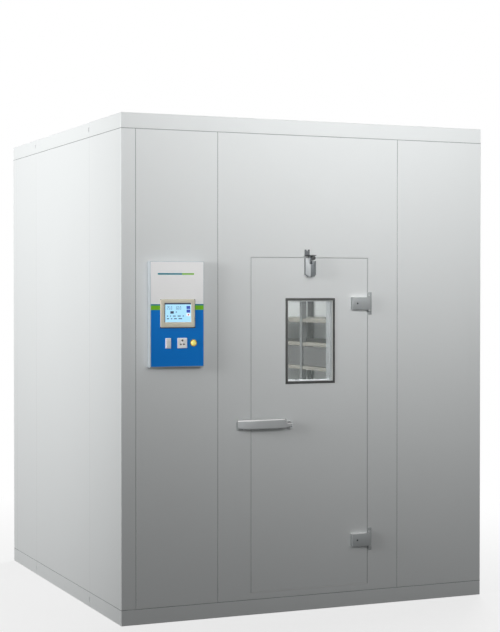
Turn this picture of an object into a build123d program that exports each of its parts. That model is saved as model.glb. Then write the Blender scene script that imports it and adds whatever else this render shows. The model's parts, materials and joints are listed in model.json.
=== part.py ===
"""Walk-in environmental test chamber, built from insulated panels round a flush door.

Millimetres, +Z up. The origin is the centre of the floor panels' underside, and the door is in the
face at -Y. Seen from there, the hinges are on the right and the control box is on the left.
"""

import math
import os

from build123d import *

os.makedirs("parts", exist_ok=True)

# Enclosure
end_module = 600.0  # width of the panel at each end of a wall, from the outer corner
front_module = 1200.0  # width of the middle panel of the front and back walls
side_module = 1200.0  # width of the middle panel of the side walls, floor and ceiling
outer_height = 2955.0
wall_thickness = 90.0
floor_thickness = 90.0
ceiling_thickness = 90.0
skin_chamfer = 2.5  # bend of the steel skin at every panel edge, which leaves the joint line
tongue_depth = 14.0
tongue_root = 30.0
tongue_tip = 24.0
tongue_setback = 4.0
joint_clearance = 0.5
deck_thickness = 3.0

# Door leaf and its rebate
door_offset = 3.0  # door centre, to the right of the chamber's centre
leaf_width = 776.0
leaf_height = 1995.0
leaf_sill = 44.0  # the leaf's lower edge above the floor panels
leaf_gap = 4.0
leaf_lip = 42.0  # thickness of the leaf's outer part
rebate_lap = 35.0  # how far the leaf laps over the frame's step
gasket_space = 6.0
gasket_width = 18.0
gasket_rest_gap = 0.3
plug_gap = 10.0
plug_recess = 2.0  # inner skin of the leaf, in from the wall's inner face
sill_sheet = 2.0

# Viewing window
window_width = 330.0
window_height = 516.0
window_drop = 241.5  # from the top of the leaf to the window's trim
window_trim = 14.5
trim_thickness = 4.0
trim_lip = 2.5
trim_seat = 10.0
pane_thickness = 5.0
pane_clearance = 0.5
spacer_width = 8.0

# Strap hinges
hinge_upper = 274.5  # upper hinge centre below the top of the leaf
hinge_lower = 271.0  # lower hinge centre above the bottom of the leaf
hinge_reach = 8.0  # hinge axis beyond the edge of the leaf
hinge_standoff = 14.0  # hinge axis in front of the face
strap_length = 121.5  # from its free end to the hinge axis
strap_height = 77.0
strap_depth = 25.0
strap_wall = 4.0
knuckle_radius = 11.0
bush_radius = 7.5
hinge_pin_radius = 5.5
running_clearance = 0.05
thrust_washer = 1.0
ear_thickness = 8.0
bracket_width = 24.0
bracket_height = 138.0
bracket_plate = 2.5
bracket_gap = 5.0  # between the leaf's edge and the bracket
pin_head = 4.0
screw_boss_radius = 6.0
screws_along = 63.0  # spacing of the strap's screw bosses
screws_up = 34.0

# Pull handle, strike and inside release
handle_drop = 243.5  # middle of the handle's foot below the window's trim
handle_pivot = 247.0  # pivot, in from the free edge of the leaf
pivot_standoff = 22.0
lever_overhang = 96.0  # lever tip beyond the free edge of the leaf
lever_peak = 58.4  # how far the grip stands out
lever_grip = 21.0  # thickness of the grip
lever_height = 58.0
lever_tip_height = 50.0
lever_neck = 28.0
lever_lift = 11.0  # middle of the grip above the middle of its foot
lever_bow = 0.45  # share of the lever's length where it stands out most
lever_toe = 0.9  # share of the length where the flat toe begins
lever_swell = 0.06  # share of the length where the grip starts to widen
lever_shoulder = 0.15  # share of the length where it has its full height
lever_knuckle = 11.0
pivot_pin_radius = 4.0
handle_plate = 5.0
handle_plate_width = 52.0
handle_plate_height = 42.0
strike_width = 42.0
strike_height = 48.0
strike_plate = 4.0
strike_depth = 13.0
lever_swing = 18.0  # degrees
pad_standoff = 26.0  # flat on the back of the lever, where the release rod pushes
pad_half = 12.0
release_reach = 54.0  # release rod, from the pivot towards the free edge
release_gap = 0.3  # between the rod's tip and the lever's pad
release_rod_radius = 5.0
release_clearance = 0.4
release_sleeve = 2.5
release_stop_gap = 1.0
release_knob_radius = 26.0
release_knob_depth = 18.0

# Door closer
closer_offset = -5.0  # from the door's centre
closer_width = 69.0
closer_depth = 42.0
closer_height = 110.0
closer_bevel = 14.0
closer_side_depth = 17.0  # depth of the body's flat sides, before they slant to its front
closer_front_width = 24.0
closer_cheek_drop = 2.0  # top of the body's cheek below the top of the leaf
closer_drop = 18.0  # top of the rest of the body below the top of the leaf
closer_arm_shift = -9.5  # arm, from the middle of the body
closer_side_gap = 0.8
closer_arm_width = 14.0
closer_arm_radius = 7.0
closer_arm_length = 29.0
closer_pin_radius = 3.0
closer_pin_bite = 5.0  # how far the arm's pin runs into each cheek
closer_standoff = 24.0
closer_roller_radius = 12.0
closer_roller_length = 26.0
closer_roller_gap = 1.0  # between the roller and the hook above it
closer_hook_width = 33.0
closer_hook_height = 41.0
closer_hook_sheet = 4.0
closer_hook_reach = 44.0
closer_hook_base = 10.0  # foot of the hook above the top of the leaf
closer_hook_lift = 14.0  # underside of the hook's lip above the top of the leaf
hook_notch_half = 6.5
hook_notch_depth = 12.5

# Control box, measured from the left outer corner and from the chamber's top
box_left = 162.0
box_top = 853.0
box_width = 333.0
box_height = 613.0
box_depth = 45.0
box_sheet = 2.0
fascia_sheet = 3.0
hmi_width = 212.0
hmi_height = 163.0
hmi_depth = 9.0
hmi_body_depth = 26.0
hmi_flange = 8.0
hmi_drop = 220.0  # top of the box to the top of the screen unit
screen_width = 164.0
screen_height = 111.0
screen_shift = 5.0
screen_recess = 2.0
screen_glass = 2.0
controls_drop = 474.0  # top of the box to the row of switch, socket and lamp
switch_across = 109.0  # left side of the box to the switch
socket_across = 196.0
lamp_across = 266.0
module_height = 60.0
switch_width = 34.0
socket_width = 59.0
module_depth = 5.0
module_body_depth = 24.0
module_flange = 5.0
rocker_width = 24.0
rocker_height = 44.0
rocker_rise = 3.0
rocker_clearance = 0.4
rocker_dish = 2.0
rocker_swing = 10.0  # degrees, from one position to the other
rocker_well = 10.0
rocker_pivot = 2.0  # rocker axis below the face of its frame
socket_earth_radius = 3.53
socket_pin_radius = 2.54
socket_pin_spacing = 19.05
socket_earth_rise = 22.23  # earth hole above the line of the other two
lamp_radius = 20.5
lens_radius = 15.5
lamp_rim = 4.0
lens_height = 10.0
lens_shoulder = 0.4  # shares of the lens's height where its side turns inward
lens_brow = 0.8
lens_crown = 6.5  # radius of the lens's flat tip
lens_step = 1.2

# Air conditioning unit under the ceiling
cooler_side_gap = 20.0  # from the unit's end to the joint of the middle wall panel
cooler_depth = 380.0
cooler_height = 330.0
cooler_sheet = 2.0
cooler_wall_gap = 110.0
hanger_height = 30.0
hanger_width = 40.0
hanger_spacing = 900.0
fan_spacing = 620.0
fan_orifice = 135.0  # radius
orifice_ring = 4.0
orifice_depth = 36.0
fan_tip_clearance = 4.0
fan_hub_radius = 38.0
fan_hub_length = 28.0
fan_front_gap = 4.0
blade_count = 5
blade_root_chord = 43.0
blade_tip_chord = 62.0
blade_thickness = 2.5
blade_root_pitch = 32.0
blade_tip_pitch = 18.0
blade_root_bury = 4.0  # how far each blade starts inside the hub
motor_radius = 42.0
motor_length = 84.0
motor_shaft_radius = 5.0
shaft_length = 24.0
motor_arm_width = 12.0
motor_arm_thickness = 4.0
guard_standoff = 14.0
guard_ring_shares = (0.4, 0.72, 1.04)  # ring radii as shares of the orifice's radius
guard_bar = 4.0
guard_foot = 12.0
coil_depth = 110.0
coil_end_gap = 58.0
coil_rear_gap = 10.0
coil_bottom_gap = 10.0
fin_pitch = 42.0
fin_slot = 32.0
fin_slot_depth = 14.0
tube_radius = 6.0
tube_sides = 6
bend_pitch = 60.0
bend_radius = 20.0
tray_depth = 35.0
tray_sheet = 2.0
tray_inset = 20.0
heater_radius = 4.5
heater_pitch = 90.0
heater_bend = 42.0
heater_gap = 22.0
steam_radius = 14.0
steam_forward = 60.0
steam_aside = -300.0
steam_run = 600.0
steam_bend = 45.0
steam_nozzle_radius = 5.0
steam_nozzle_rise = 10.0
header_rise = 70.0
service_stub = 60.0  # how far the service pipes stand out behind
pipe_clearance = 0.3
pipe_flange = 5.0  # thickness of the cover plates where the pipes pass the wall
flange_margin = 40.0
pipe_hole_gap = 5.0  # between each pipe and its hole in the foam
suction_radius = 11.0
liquid_radius = 6.0
drain_radius = 14.0
drain_drop = 120.0
drain_aside = 380.0

# Light and sensor under the ceiling
light_length = 640.0
light_width = 100.0
light_depth = 40.0
light_forward = 350.0
diffuser_depth = 26.0
diffuser_half_width = 42.0
diffuser_length = 588.0
sensor_aside = 420.0
sensor_length = 190.0
sensor_radius = 7.0
sensor_gland_radius = 21.0
sensor_gland_depth = 7.0
sensor_filter_radius = 10.0
sensor_filter_length = 64.0

# Racks along both side walls
rack_depth = 500.0
rack_wall_gap = 10.0
rack_front_gap = 410.0  # free floor between the front wall and the racks
rack_rear_gap = 42.0
rack_height = 1900.0
post_leg = 35.0
post_sheet = 2.5
shelf_lip = 25.0
shelf_sheet = 1.5
shelf_clearance = 0.3
shelf_start = 160.0  # top of the lowest shelf above the deck
left_shelf_pitch = 460.0
left_shelf_count = 4
right_shelf_pitch = 330.0
right_shelf_count = 4
sample_shelf_pitch = 165.0  # closer shelves above those, for small samples
sample_shelf_count = 3

# Places that follow from the sizes
outer_width = 2 * end_module + front_module
outer_depth = 2 * end_module + side_module
left = -outer_width / 2
right = outer_width / 2
front = -outer_depth / 2
back = outer_depth / 2
floor_top = floor_thickness
wall_top = outer_height - ceiling_thickness
wall_height = wall_top - floor_top
inner_right = right - wall_thickness
inner_back = back - wall_thickness
deck_top = floor_top + deck_thickness
groove_depth = tongue_depth + joint_clearance
groove_root = tongue_root + 2 * joint_clearance
groove_tip = tongue_tip + 2 * joint_clearance

door_x = door_offset
leaf_left = door_x - leaf_width / 2
leaf_right = door_x + leaf_width / 2
leaf_bottom = floor_top + leaf_sill
leaf_top = leaf_bottom + leaf_height
leaf_mid = (leaf_bottom + leaf_top) / 2
rebate_depth = leaf_lip + gasket_space
clear_width = leaf_width - 2 * rebate_lap
clear_height = leaf_height - 2 * rebate_lap
clear_bottom = leaf_bottom + rebate_lap
plug_width = clear_width - 2 * plug_gap
plug_height = clear_height - 2 * plug_gap
leaf_depth = wall_thickness - plug_recess

window_z = leaf_top - window_drop - window_height / 2
glass_width = window_width - 2 * window_trim
glass_height = window_height - 2 * window_trim
reveal_width = glass_width + 2 * trim_lip
reveal_height = glass_height + 2 * trim_lip
pane_width = reveal_width - 2 * pane_clearance
pane_height = reveal_height - 2 * pane_clearance

hinge_x = leaf_right + hinge_reach
hinge_levels = {"upper": leaf_top - hinge_upper, "lower": leaf_bottom + hinge_lower}

handle_z = window_z - window_height / 2 - handle_drop
pivot_x = leaf_left + handle_pivot
lever_tip_x = leaf_left - lever_overhang
release_x = pivot_x - release_reach

closer_x = door_x + closer_offset
closer_top = leaf_top - closer_drop
cheek_top = leaf_top - closer_cheek_drop
arm_x = closer_x + closer_arm_shift
arm_slot_half = closer_arm_width / 2 + closer_side_gap
roller_x = arm_x + arm_slot_half + closer_roller_length / 2
roller_z = leaf_top + closer_hook_lift - closer_roller_gap - closer_roller_radius
arm_pivot_z = roller_z - closer_arm_length

box_x = left + box_left + box_width / 2
box_upper = outer_height - box_top
box_z = box_upper - box_height / 2
hmi_x = box_x
hmi_z = box_upper - hmi_drop - hmi_height / 2
controls_z = box_upper - controls_drop
box_edge = left + box_left

cooler_width = front_module - 2 * cooler_side_gap
cooler_rear = inner_back - cooler_wall_gap
cooler_front = cooler_rear - cooler_depth
cooler_top = wall_top - hanger_height
cooler_bottom = cooler_top - cooler_height
fan_z = (cooler_top + cooler_bottom) / 2
fan_places = ((-fan_spacing / 2, fan_z), (fan_spacing / 2, fan_z))
ring_radius = fan_orifice + orifice_ring


def facing(x, z, depth=0.0):
    """Plane parallel to the front face and looking out of it, `depth` behind the outer skin."""
    return Plane(origin=(x, front + depth, z), x_dir=(1, 0, 0), z_dir=(0, -1, 0))


def plan(x, z):
    """Level plane at height z whose Y points straight out of the front face, and whose normal is down."""
    return Plane(origin=(x, front, z), x_dir=(1, 0, 0), z_dir=(0, 0, -1))


def profile(x, z):
    """Upright plane across the front face: its X points out of the face and its Y up."""
    return Plane(origin=(x, front, z), x_dir=(0, -1, 0), z_dir=(-1, 0, 0))


def save(piece, name):
    """Labels a finished piece and writes it under its node's name."""
    piece.label = name
    export_step(piece, f"parts/{name}.step")


def grouped(pieces):
    """Several separate solids of one kind, kept apart in one node."""
    return Compound(children=list(pieces))


# Insulated panels

def edge_rib(plane, position, depth, root, tip, middle):
    """Section of a tongue or groove whose root stands at `position` along the panel's run."""
    with BuildSketch(plane) as rib:
        with BuildLine():
            Polyline(
                (position, middle - root / 2),
                (position + depth, middle - tip / 2),
                (position + depth, middle + tip / 2),
                (position, middle + root / 2),
                close=True,
            )
        make_face()
    return rib.sketch


def insulated_panel(plane, start, end, thickness, length, grooved=False, tongued=False):
    """Foam-filled panel: its run is the plane's X, its thickness the Y and its length the normal."""
    middle = thickness / 2
    with BuildPart() as panel:
        with BuildSketch(plane):
            with Locations(((start + end) / 2, middle)):
                Rectangle(end - start, thickness)
        extrude(amount=length)
        chamfer(panel.edges(), skin_chamfer)
        if tongued:
            tongue = edge_rib(
                plane.offset(tongue_setback), end, tongue_depth, tongue_root, tongue_tip, middle
            )
            extrude(tongue, amount=length - 2 * tongue_setback)
        if grooved:
            groove = edge_rib(plane, start, groove_depth, groove_root, groove_tip, middle)
            extrude(groove, amount=length, mode=Mode.SUBTRACT)
    return panel.part


def deck_panels(base, thickness):
    """Three panels side by side from front to back, each as wide as the chamber."""
    plane = Plane(origin=(left, front, base), x_dir=(0, 1, 0), z_dir=(1, 0, 0))
    joints = (0.0, end_module, outer_depth - end_module, outer_depth)
    return [
        insulated_panel(
            plane, start, end, thickness, outer_width, grooved=start > 0, tongued=end < outer_depth
        )
        for start, end in zip(joints, joints[1:])
    ]


def wall_panels(corner, along, run):
    """Three panels of one wall. Each wall starts against its neighbour and covers the next one's end."""
    plane = Plane(origin=(*corner, floor_top), x_dir=(*along, 0), z_dir=(0, 0, 1))
    joints = (wall_thickness, end_module, run - end_module, run)
    return [
        insulated_panel(
            plane, start, end, wall_thickness, wall_height, grooved=start > wall_thickness, tongued=end < run
        )
        for start, end in zip(joints, joints[1:])
    ]


save(grouped(deck_panels(0.0, floor_thickness)), "floor_panels")
save(grouped(deck_panels(wall_top, ceiling_thickness)), "ceiling_panels")

front_left_panel, door_blank, front_right_panel = wall_panels((left, front), (1, 0), outer_width)
right_run = wall_panels((right, front), (0, 1), outer_depth)
back_run = wall_panels((right, back), (-1, 0), outer_width)
left_run = wall_panels((left, back), (0, -1), outer_depth)

save(front_left_panel, "front_left_panel")
save(front_right_panel, "front_right_panel")
save(grouped(left_run), "left_panels")
save(grouped(right_run), "right_panels")

with BuildPart() as door_frame_panel:
    add(door_blank)
    with BuildSketch(facing(door_x, leaf_mid)):
        Rectangle(leaf_width + 2 * leaf_gap, leaf_height + 2 * leaf_gap)
    extrude(amount=-rebate_depth, mode=Mode.SUBTRACT)
    with BuildSketch(facing(door_x, leaf_mid)):
        Rectangle(clear_width, clear_height)
    extrude(amount=-wall_thickness, mode=Mode.SUBTRACT)
save(door_frame_panel.part, "door_frame_panel")

with BuildPart() as floor_deck:
    with BuildSketch(Plane.XY.offset(floor_top)):
        Rectangle(outer_width - 2 * wall_thickness, outer_depth - 2 * wall_thickness)
    extrude(amount=deck_thickness)
save(floor_deck.part, "floor_deck")

with BuildPart() as door_sill:
    with BuildSketch(profile(door_x, clear_bottom)):
        with BuildLine():
            Polyline(
                (-rebate_depth, 0),
                (-rebate_depth, sill_sheet),
                (-wall_thickness - sill_sheet, sill_sheet),
                (-wall_thickness - sill_sheet, deck_top - clear_bottom),
                (-wall_thickness, deck_top - clear_bottom),
                (-wall_thickness, 0),
                close=True,
            )
        make_face()
    extrude(amount=clear_width / 2, both=True)
save(door_sill.part, "door_sill")


# Door leaf, gasket and window

def frame_ring(plane, width, height, border, amount):
    """Rectangular ring of the given outer size, drawn on the plane and extruded."""
    with BuildSketch(plane) as ring:
        Rectangle(width, height)
        Rectangle(width - 2 * border, height - 2 * border, mode=Mode.SUBTRACT)
    extrude(ring.sketch, amount=amount)


with BuildPart() as door_leaf:
    with BuildSketch(facing(door_x, leaf_mid)):
        Rectangle(leaf_width, leaf_height)
    extrude(amount=-leaf_lip)
    chamfer(door_leaf.faces().sort_by(Axis.Y)[0].edges(), skin_chamfer / 2)
    with BuildSketch(facing(door_x, leaf_mid, leaf_lip)):
        Rectangle(plug_width, plug_height)
    extrude(amount=-(leaf_depth - leaf_lip))
    chamfer(door_leaf.faces().sort_by(Axis.Y)[-1].edges(), skin_chamfer)
    with BuildSketch(facing(door_x, window_z)):
        Rectangle(reveal_width, reveal_height)
    extrude(amount=-leaf_depth, mode=Mode.SUBTRACT)
    with Locations(facing(release_x, handle_z)):
        Hole(release_rod_radius + release_clearance + release_sleeve, depth=leaf_depth)
save(door_leaf.part, "door_leaf")

gasket_centre = rebate_lap / 2
with BuildPart() as door_gasket:
    frame_ring(
        facing(door_x, leaf_mid, leaf_lip),
        leaf_width - 2 * gasket_centre + gasket_width,
        leaf_height - 2 * gasket_centre + gasket_width,
        gasket_width,
        gasket_rest_gap - gasket_space,
    )
    chamfer(door_gasket.faces().sort_by(Axis.Y)[-1].edges(), gasket_space / 3)
save(door_gasket.part, "door_gasket")

with BuildPart() as window_outer_trim:
    frame_ring(facing(door_x, window_z), window_width, window_height, window_trim, trim_thickness)
    chamfer(window_outer_trim.faces().sort_by(Axis.Y)[0].edges(), trim_thickness / 4)
    frame_ring(facing(door_x, window_z), reveal_width, reveal_height, trim_lip, -trim_seat)
save(window_outer_trim.part, "window_outer_trim")

with BuildPart() as window_inner_trim:
    frame_ring(
        facing(door_x, window_z, leaf_depth), window_width, window_height, window_trim, -trim_thickness
    )
    chamfer(window_inner_trim.faces().sort_by(Axis.Y)[-1].edges(), trim_thickness / 4)
    frame_ring(facing(door_x, window_z, leaf_depth), reveal_width, reveal_height, trim_lip, trim_seat)
save(window_inner_trim.part, "window_inner_trim")

outer_pane_back = trim_seat + pane_thickness
inner_pane_front = leaf_depth - trim_seat - pane_thickness
with BuildPart() as window_panes:
    for pane_front in (trim_seat, inner_pane_front):
        with BuildSketch(facing(door_x, window_z, pane_front)):
            Rectangle(pane_width, pane_height)
        extrude(amount=-pane_thickness)
save(window_panes.part, "window_panes")

with BuildPart() as window_spacer:
    frame_ring(
        facing(door_x, window_z, outer_pane_back),
        pane_width,
        pane_height,
        spacer_width,
        outer_pane_back - inner_pane_front,
    )
save(window_spacer.part, "window_spacer")


def bore(plane, at, radius, amount):
    """Cuts a round hole from the plane, along its normal."""
    with BuildSketch(plane) as hole:
        with Locations(at):
            Circle(radius)
    extrude(hole.sketch, amount=amount, mode=Mode.SUBTRACT)


def round_bar(plane, at, radius, amount, both=False):
    """Adds a round bar from the plane, along its normal."""
    with BuildSketch(plane) as section:
        with Locations(at):
            Circle(radius)
    extrude(section.sketch, amount=amount, both=both)


# Strap hinges

def hinge_strap(z):
    """Cast strap on the leaf: a hollow cover, screw bosses behind it, and the knuckle at the hinge axis."""
    cover_length = strap_length - hinge_reach
    cover_x = leaf_right - cover_length / 2
    inside = (cover_length - 2 * strap_wall, strap_height - 2 * strap_wall)
    with BuildPart() as strap:
        with BuildSketch(facing(cover_x, z)):
            Rectangle(cover_length, strap_height)
        extrude(amount=strap_depth)
        with BuildSketch(plan(hinge_x, z + strap_height / 2)):
            with Locations((0, hinge_standoff)):
                Circle(knuckle_radius)
                Rectangle(hinge_reach, 2 * knuckle_radius, align=(Align.MAX, Align.CENTER))
        extrude(amount=strap_height)
        free_end = strap.faces().sort_by(Axis.X)[0]
        fillet(free_end.edges().filter_by(Axis.Z).sort_by(Axis.Y)[0], strap_wall)
        with BuildSketch(facing(cover_x, z)):
            Rectangle(*inside)
        extrude(amount=strap_depth - strap_wall, mode=Mode.SUBTRACT)
        with BuildSketch(facing(cover_x, z)):
            with GridLocations(screws_along, screws_up, 2, 2):
                Circle(screw_boss_radius)
        extrude(amount=strap_depth - strap_wall)
        bore(plan(hinge_x, z + strap_height / 2), (0, hinge_standoff), bush_radius, strap_height)
    return strap.part


def hinge_bracket(z):
    """Plate on the frame with an ear above and below the strap's knuckle, bored for the pin."""
    plate_x = leaf_right + bracket_gap + bracket_width / 2
    ear_base = strap_height / 2 + thrust_washer
    web = hinge_x - leaf_right - bracket_gap
    with BuildPart() as bracket:
        with BuildSketch(facing(plate_x, z)):
            RectangleRounded(bracket_width, bracket_height, bracket_plate)
        extrude(amount=bracket_plate)
        for ear_top in (z + ear_base + ear_thickness, z - ear_base):
            with BuildSketch(plan(hinge_x, ear_top)):
                with Locations((0, hinge_standoff)):
                    Circle(knuckle_radius)
                with Locations((-web, 0)):
                    Rectangle(web + knuckle_radius, hinge_standoff, align=(Align.MIN, Align.MIN))
            extrude(amount=ear_thickness)
        ears_high = 2 * (ear_base + ear_thickness)
        bore(plan(hinge_x, z + ears_high / 2), (0, hinge_standoff), hinge_pin_radius, ears_high)
    return bracket.part


for level_name, level in hinge_levels.items():
    save(hinge_strap(level), f"{level_name}_hinge_strap")
    save(hinge_bracket(level), f"{level_name}_hinge_bracket")

ear_reach = strap_height / 2 + thrust_washer + ear_thickness
with BuildPart() as hinge_pins:
    for level in hinge_levels.values():
        head_plane = plan(hinge_x, level + ear_reach)
        round_bar(head_plane, (0, hinge_standoff), hinge_pin_radius, 2 * ear_reach)
        round_bar(head_plane, (0, hinge_standoff), hinge_pin_radius + pin_head / 2, -pin_head)
save(hinge_pins.part, "hinge_pins")

with BuildPart() as hinge_bushes:
    for level in hinge_levels.values():
        for top, radius, length in (
            (level + strap_height / 2, bush_radius, strap_height),
            (level - strap_height / 2, knuckle_radius, thrust_washer),
        ):
            with BuildSketch(plan(hinge_x, top)):
                with Locations((0, hinge_standoff)):
                    Circle(radius)
                    Circle(hinge_pin_radius + running_clearance, mode=Mode.SUBTRACT)
            extrude(amount=length)
save(hinge_bushes.part, "hinge_bushes")


# Pull handle, strike and inside release

neck_half = lever_neck / 2
plate_half = handle_plate_height / 2
pivot_at = (0, pivot_standoff)
with BuildPart() as handle_base:
    with BuildSketch(facing(pivot_x, handle_z)):
        RectangleRounded(handle_plate_width, handle_plate_height, handle_plate)
    extrude(amount=handle_plate)
    for ear_top in (handle_z + plate_half, handle_z - neck_half - joint_clearance):
        with BuildSketch(plan(pivot_x, ear_top)):
            with Locations(pivot_at):
                Circle(lever_knuckle)
            Rectangle(2 * lever_knuckle, pivot_standoff, align=(Align.CENTER, Align.MIN))
        extrude(amount=plate_half - neck_half - joint_clearance)
    bore(plan(pivot_x, handle_z + plate_half), pivot_at, pivot_pin_radius, handle_plate_height)
save(handle_base.part, "handle_base")

lever_run = pivot_x - lever_tip_x
sole_standoff = strike_depth + joint_clearance
grip_inner = lever_peak - lever_grip
tip_half = lever_tip_height / 2
grip_top = lever_lift + lever_height / 2
grip_bottom = lever_lift - lever_height / 2
with BuildPart() as handle_lever:
    with BuildSketch(plan(pivot_x, handle_z + grip_top)):
        with BuildLine():
            outer_bow = Spline(
                (0, pivot_standoff + lever_knuckle),
                (-lever_run * lever_bow, lever_peak),
                (-lever_run * (1 + lever_toe) / 2, sole_standoff + lever_grip),
                tangents=((-1, 0.55), (-0.75, -0.6)),
            )
            nose = Line(outer_bow @ 1, (-lever_run, sole_standoff + lever_grip / 2))
            tip = Line(nose @ 1, (-lever_run, sole_standoff))
            sole = Line(tip @ 1, (-lever_run * lever_toe, sole_standoff))
            inner_bow = Spline(
                sole @ 1,
                (-lever_run * lever_bow, grip_inner),
                (-release_reach - pad_half, pad_standoff),
                tangents=((0.75, 0.6), (1, -0.2)),
            )
            pad = Line(inner_bow @ 1, (pad_half - release_reach, pad_standoff))
            heel = Line(pad @ 1, (0, pivot_standoff - lever_knuckle))
            Line(heel @ 1, outer_bow @ 0)
        make_face()
        with Locations(pivot_at):
            Circle(lever_knuckle)
    extrude(amount=lever_height)
    with BuildSketch(facing(pivot_x, handle_z)):
        with BuildLine():
            upper_shoulder = Spline(
                (-lever_run * lever_swell, neck_half),
                (-lever_run * lever_shoulder, grip_top),
                tangents=((-1, 0), (-1, 0)),
            )
            upper_edge = Line(upper_shoulder @ 1, (-lever_run / 2, grip_top))
            upper_end = Spline(
                upper_edge @ 1, (-lever_run, lever_lift + tip_half), tangents=((-1, 0), (-1, -0.1))
            )
            lower_end = Spline(
                (-lever_run, lever_lift - tip_half),
                (-lever_run / 2, grip_bottom),
                tangents=((1, -0.1), (1, 0)),
            )
            lower_edge = Line(lower_end @ 1, (-lever_run * lever_shoulder, grip_bottom))
            lower_shoulder = Spline(
                lower_edge @ 1, (-lever_run * lever_swell, -neck_half), tangents=((1, 0), (1, 0))
            )
            Line(upper_end @ 1, lower_end @ 0)
            Polyline(
                lower_shoulder @ 1,
                (lever_knuckle, -neck_half),
                (lever_knuckle, neck_half),
                upper_shoulder @ 0,
            )
        make_face()
    extrude(amount=lever_peak + lever_grip, mode=Mode.INTERSECT)
    pivot_bore = pivot_pin_radius + running_clearance
    bore(plan(pivot_x, handle_z + neck_half), pivot_at, pivot_bore, lever_neck)
save(handle_lever.part, "handle_lever")

with BuildPart() as handle_pivot_pin:
    pin_plane = plan(pivot_x, handle_z + plate_half)
    round_bar(pin_plane, pivot_at, pivot_pin_radius, handle_plate_height)
    round_bar(pin_plane, pivot_at, pivot_pin_radius + pin_head / 2, -pin_head / 2)
save(handle_pivot_pin.part, "handle_pivot_pin")

strike_x = lever_tip_x + strike_width / 2
with BuildPart() as latch_strike:
    with BuildSketch(facing(strike_x, handle_z)):
        RectangleRounded(strike_width, strike_height, strike_plate)
    extrude(amount=strike_plate)
    with BuildSketch(plan(strike_x, handle_z + strike_height / 3)):
        with BuildLine():
            Polyline(
                (-strike_width / 2 + strike_plate, 0),
                (-strike_width / 4, strike_depth),
                (strike_width / 4, strike_depth),
                (strike_width / 2 - strike_plate, 0),
                close=True,
            )
        make_face()
    extrude(amount=strike_height * 2 / 3)
save(latch_strike.part, "latch_strike")

sleeve_bore = release_rod_radius + release_clearance
with BuildPart() as release_escutcheon:
    round_bar(facing(release_x, handle_z, leaf_depth), (0, 0), release_knob_radius, -handle_plate)
    round_bar(facing(release_x, handle_z, leaf_depth), (0, 0), sleeve_bore + release_sleeve, leaf_depth)
    sleeve_length = leaf_depth + handle_plate
    bore(facing(release_x, handle_z, sleeve_length), (0, 0), sleeve_bore, sleeve_length)
save(release_escutcheon.part, "release_escutcheon")

# The rod moves a little less than the pad that it pushes, so the near edge of its tip never presses in
release_lead = release_reach - release_rod_radius
release_travel = release_lead * math.radians(lever_swing)
knob_front = leaf_depth + handle_plate + release_travel + release_stop_gap
rod_tip = pad_standoff - release_gap
with BuildPart() as release_rod:
    round_bar(facing(release_x, handle_z, -rod_tip), (0, 0), release_rod_radius, -rod_tip - knob_front)
    round_bar(facing(release_x, handle_z, knob_front), (0, 0), release_knob_radius, -release_knob_depth)
    chamfer(release_rod.edges().sort_by(Axis.Y)[-1], release_knob_depth / 3)
save(release_rod.part, "release_rod")


# Door closer

with BuildPart() as closer_body:
    with BuildSketch(plan(closer_x, cheek_top)):
        with BuildLine():
            Polyline(
                (-closer_width / 2, 0),
                (-closer_width / 2, closer_side_depth),
                (-closer_front_width / 2, closer_depth),
                (closer_front_width / 2, closer_depth),
                (closer_width / 2, closer_side_depth),
                (closer_width / 2, 0),
                close=True,
            )
        make_face()
    extrude(amount=closer_height)
    with BuildSketch(facing(closer_x, cheek_top)):
        with BuildLine():
            Polyline(
                (-closer_width / 2, 0),
                (closer_width / 2, 0),
                (closer_width / 2, closer_bevel - closer_height),
                (closer_width / 4, -closer_height),
                (-closer_width / 4, -closer_height),
                (-closer_width / 2, closer_bevel - closer_height),
                close=True,
            )
        make_face()
    extrude(amount=closer_depth, mode=Mode.INTERSECT)
    with BuildSketch(facing(arm_x - arm_slot_half, closer_top)):
        Rectangle(closer_width, closer_drop, align=(Align.MIN, Align.MIN))
    extrude(amount=closer_depth, mode=Mode.SUBTRACT)
    slot_bottom = arm_pivot_z - closer_arm_radius - closer_side_gap
    slot_back = closer_standoff - closer_arm_radius - closer_side_gap
    with BuildSketch(facing(arm_x, slot_bottom, -slot_back)):
        Rectangle(2 * arm_slot_half, closer_height, align=(Align.CENTER, Align.MIN))
    extrude(amount=closer_depth, mode=Mode.SUBTRACT)
    with BuildSketch(profile(arm_x, arm_pivot_z)):
        with Locations((closer_standoff, 0)):
            Circle(closer_pin_radius + running_clearance)
    pin_pocket = arm_slot_half + closer_pin_bite + joint_clearance
    extrude(amount=pin_pocket, both=True, mode=Mode.SUBTRACT)
save(closer_body.part, "closer_body")

with BuildPart() as closer_arm:
    with BuildSketch(profile(arm_x, (arm_pivot_z + roller_z) / 2)):
        with Locations((closer_standoff, 0)):
            SlotCenterToCenter(closer_arm_length, 2 * closer_arm_radius, rotation=90)
    extrude(amount=closer_arm_width / 2, both=True)
    trunnion_half = arm_slot_half + closer_pin_bite
    pivot_plane = profile(arm_x, arm_pivot_z)
    round_bar(pivot_plane, (closer_standoff, 0), closer_pin_radius, trunnion_half, both=True)
    roller_end = arm_slot_half + closer_roller_length + closer_side_gap
    round_bar(profile(arm_x, roller_z), (closer_standoff, 0), closer_pin_radius, -roller_end)
    head_plane = profile(arm_x + roller_end, roller_z)
    round_bar(head_plane, (closer_standoff, 0), closer_pin_radius + pin_head / 2, -pin_head / 2)
save(closer_arm.part, "closer_arm")

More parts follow.
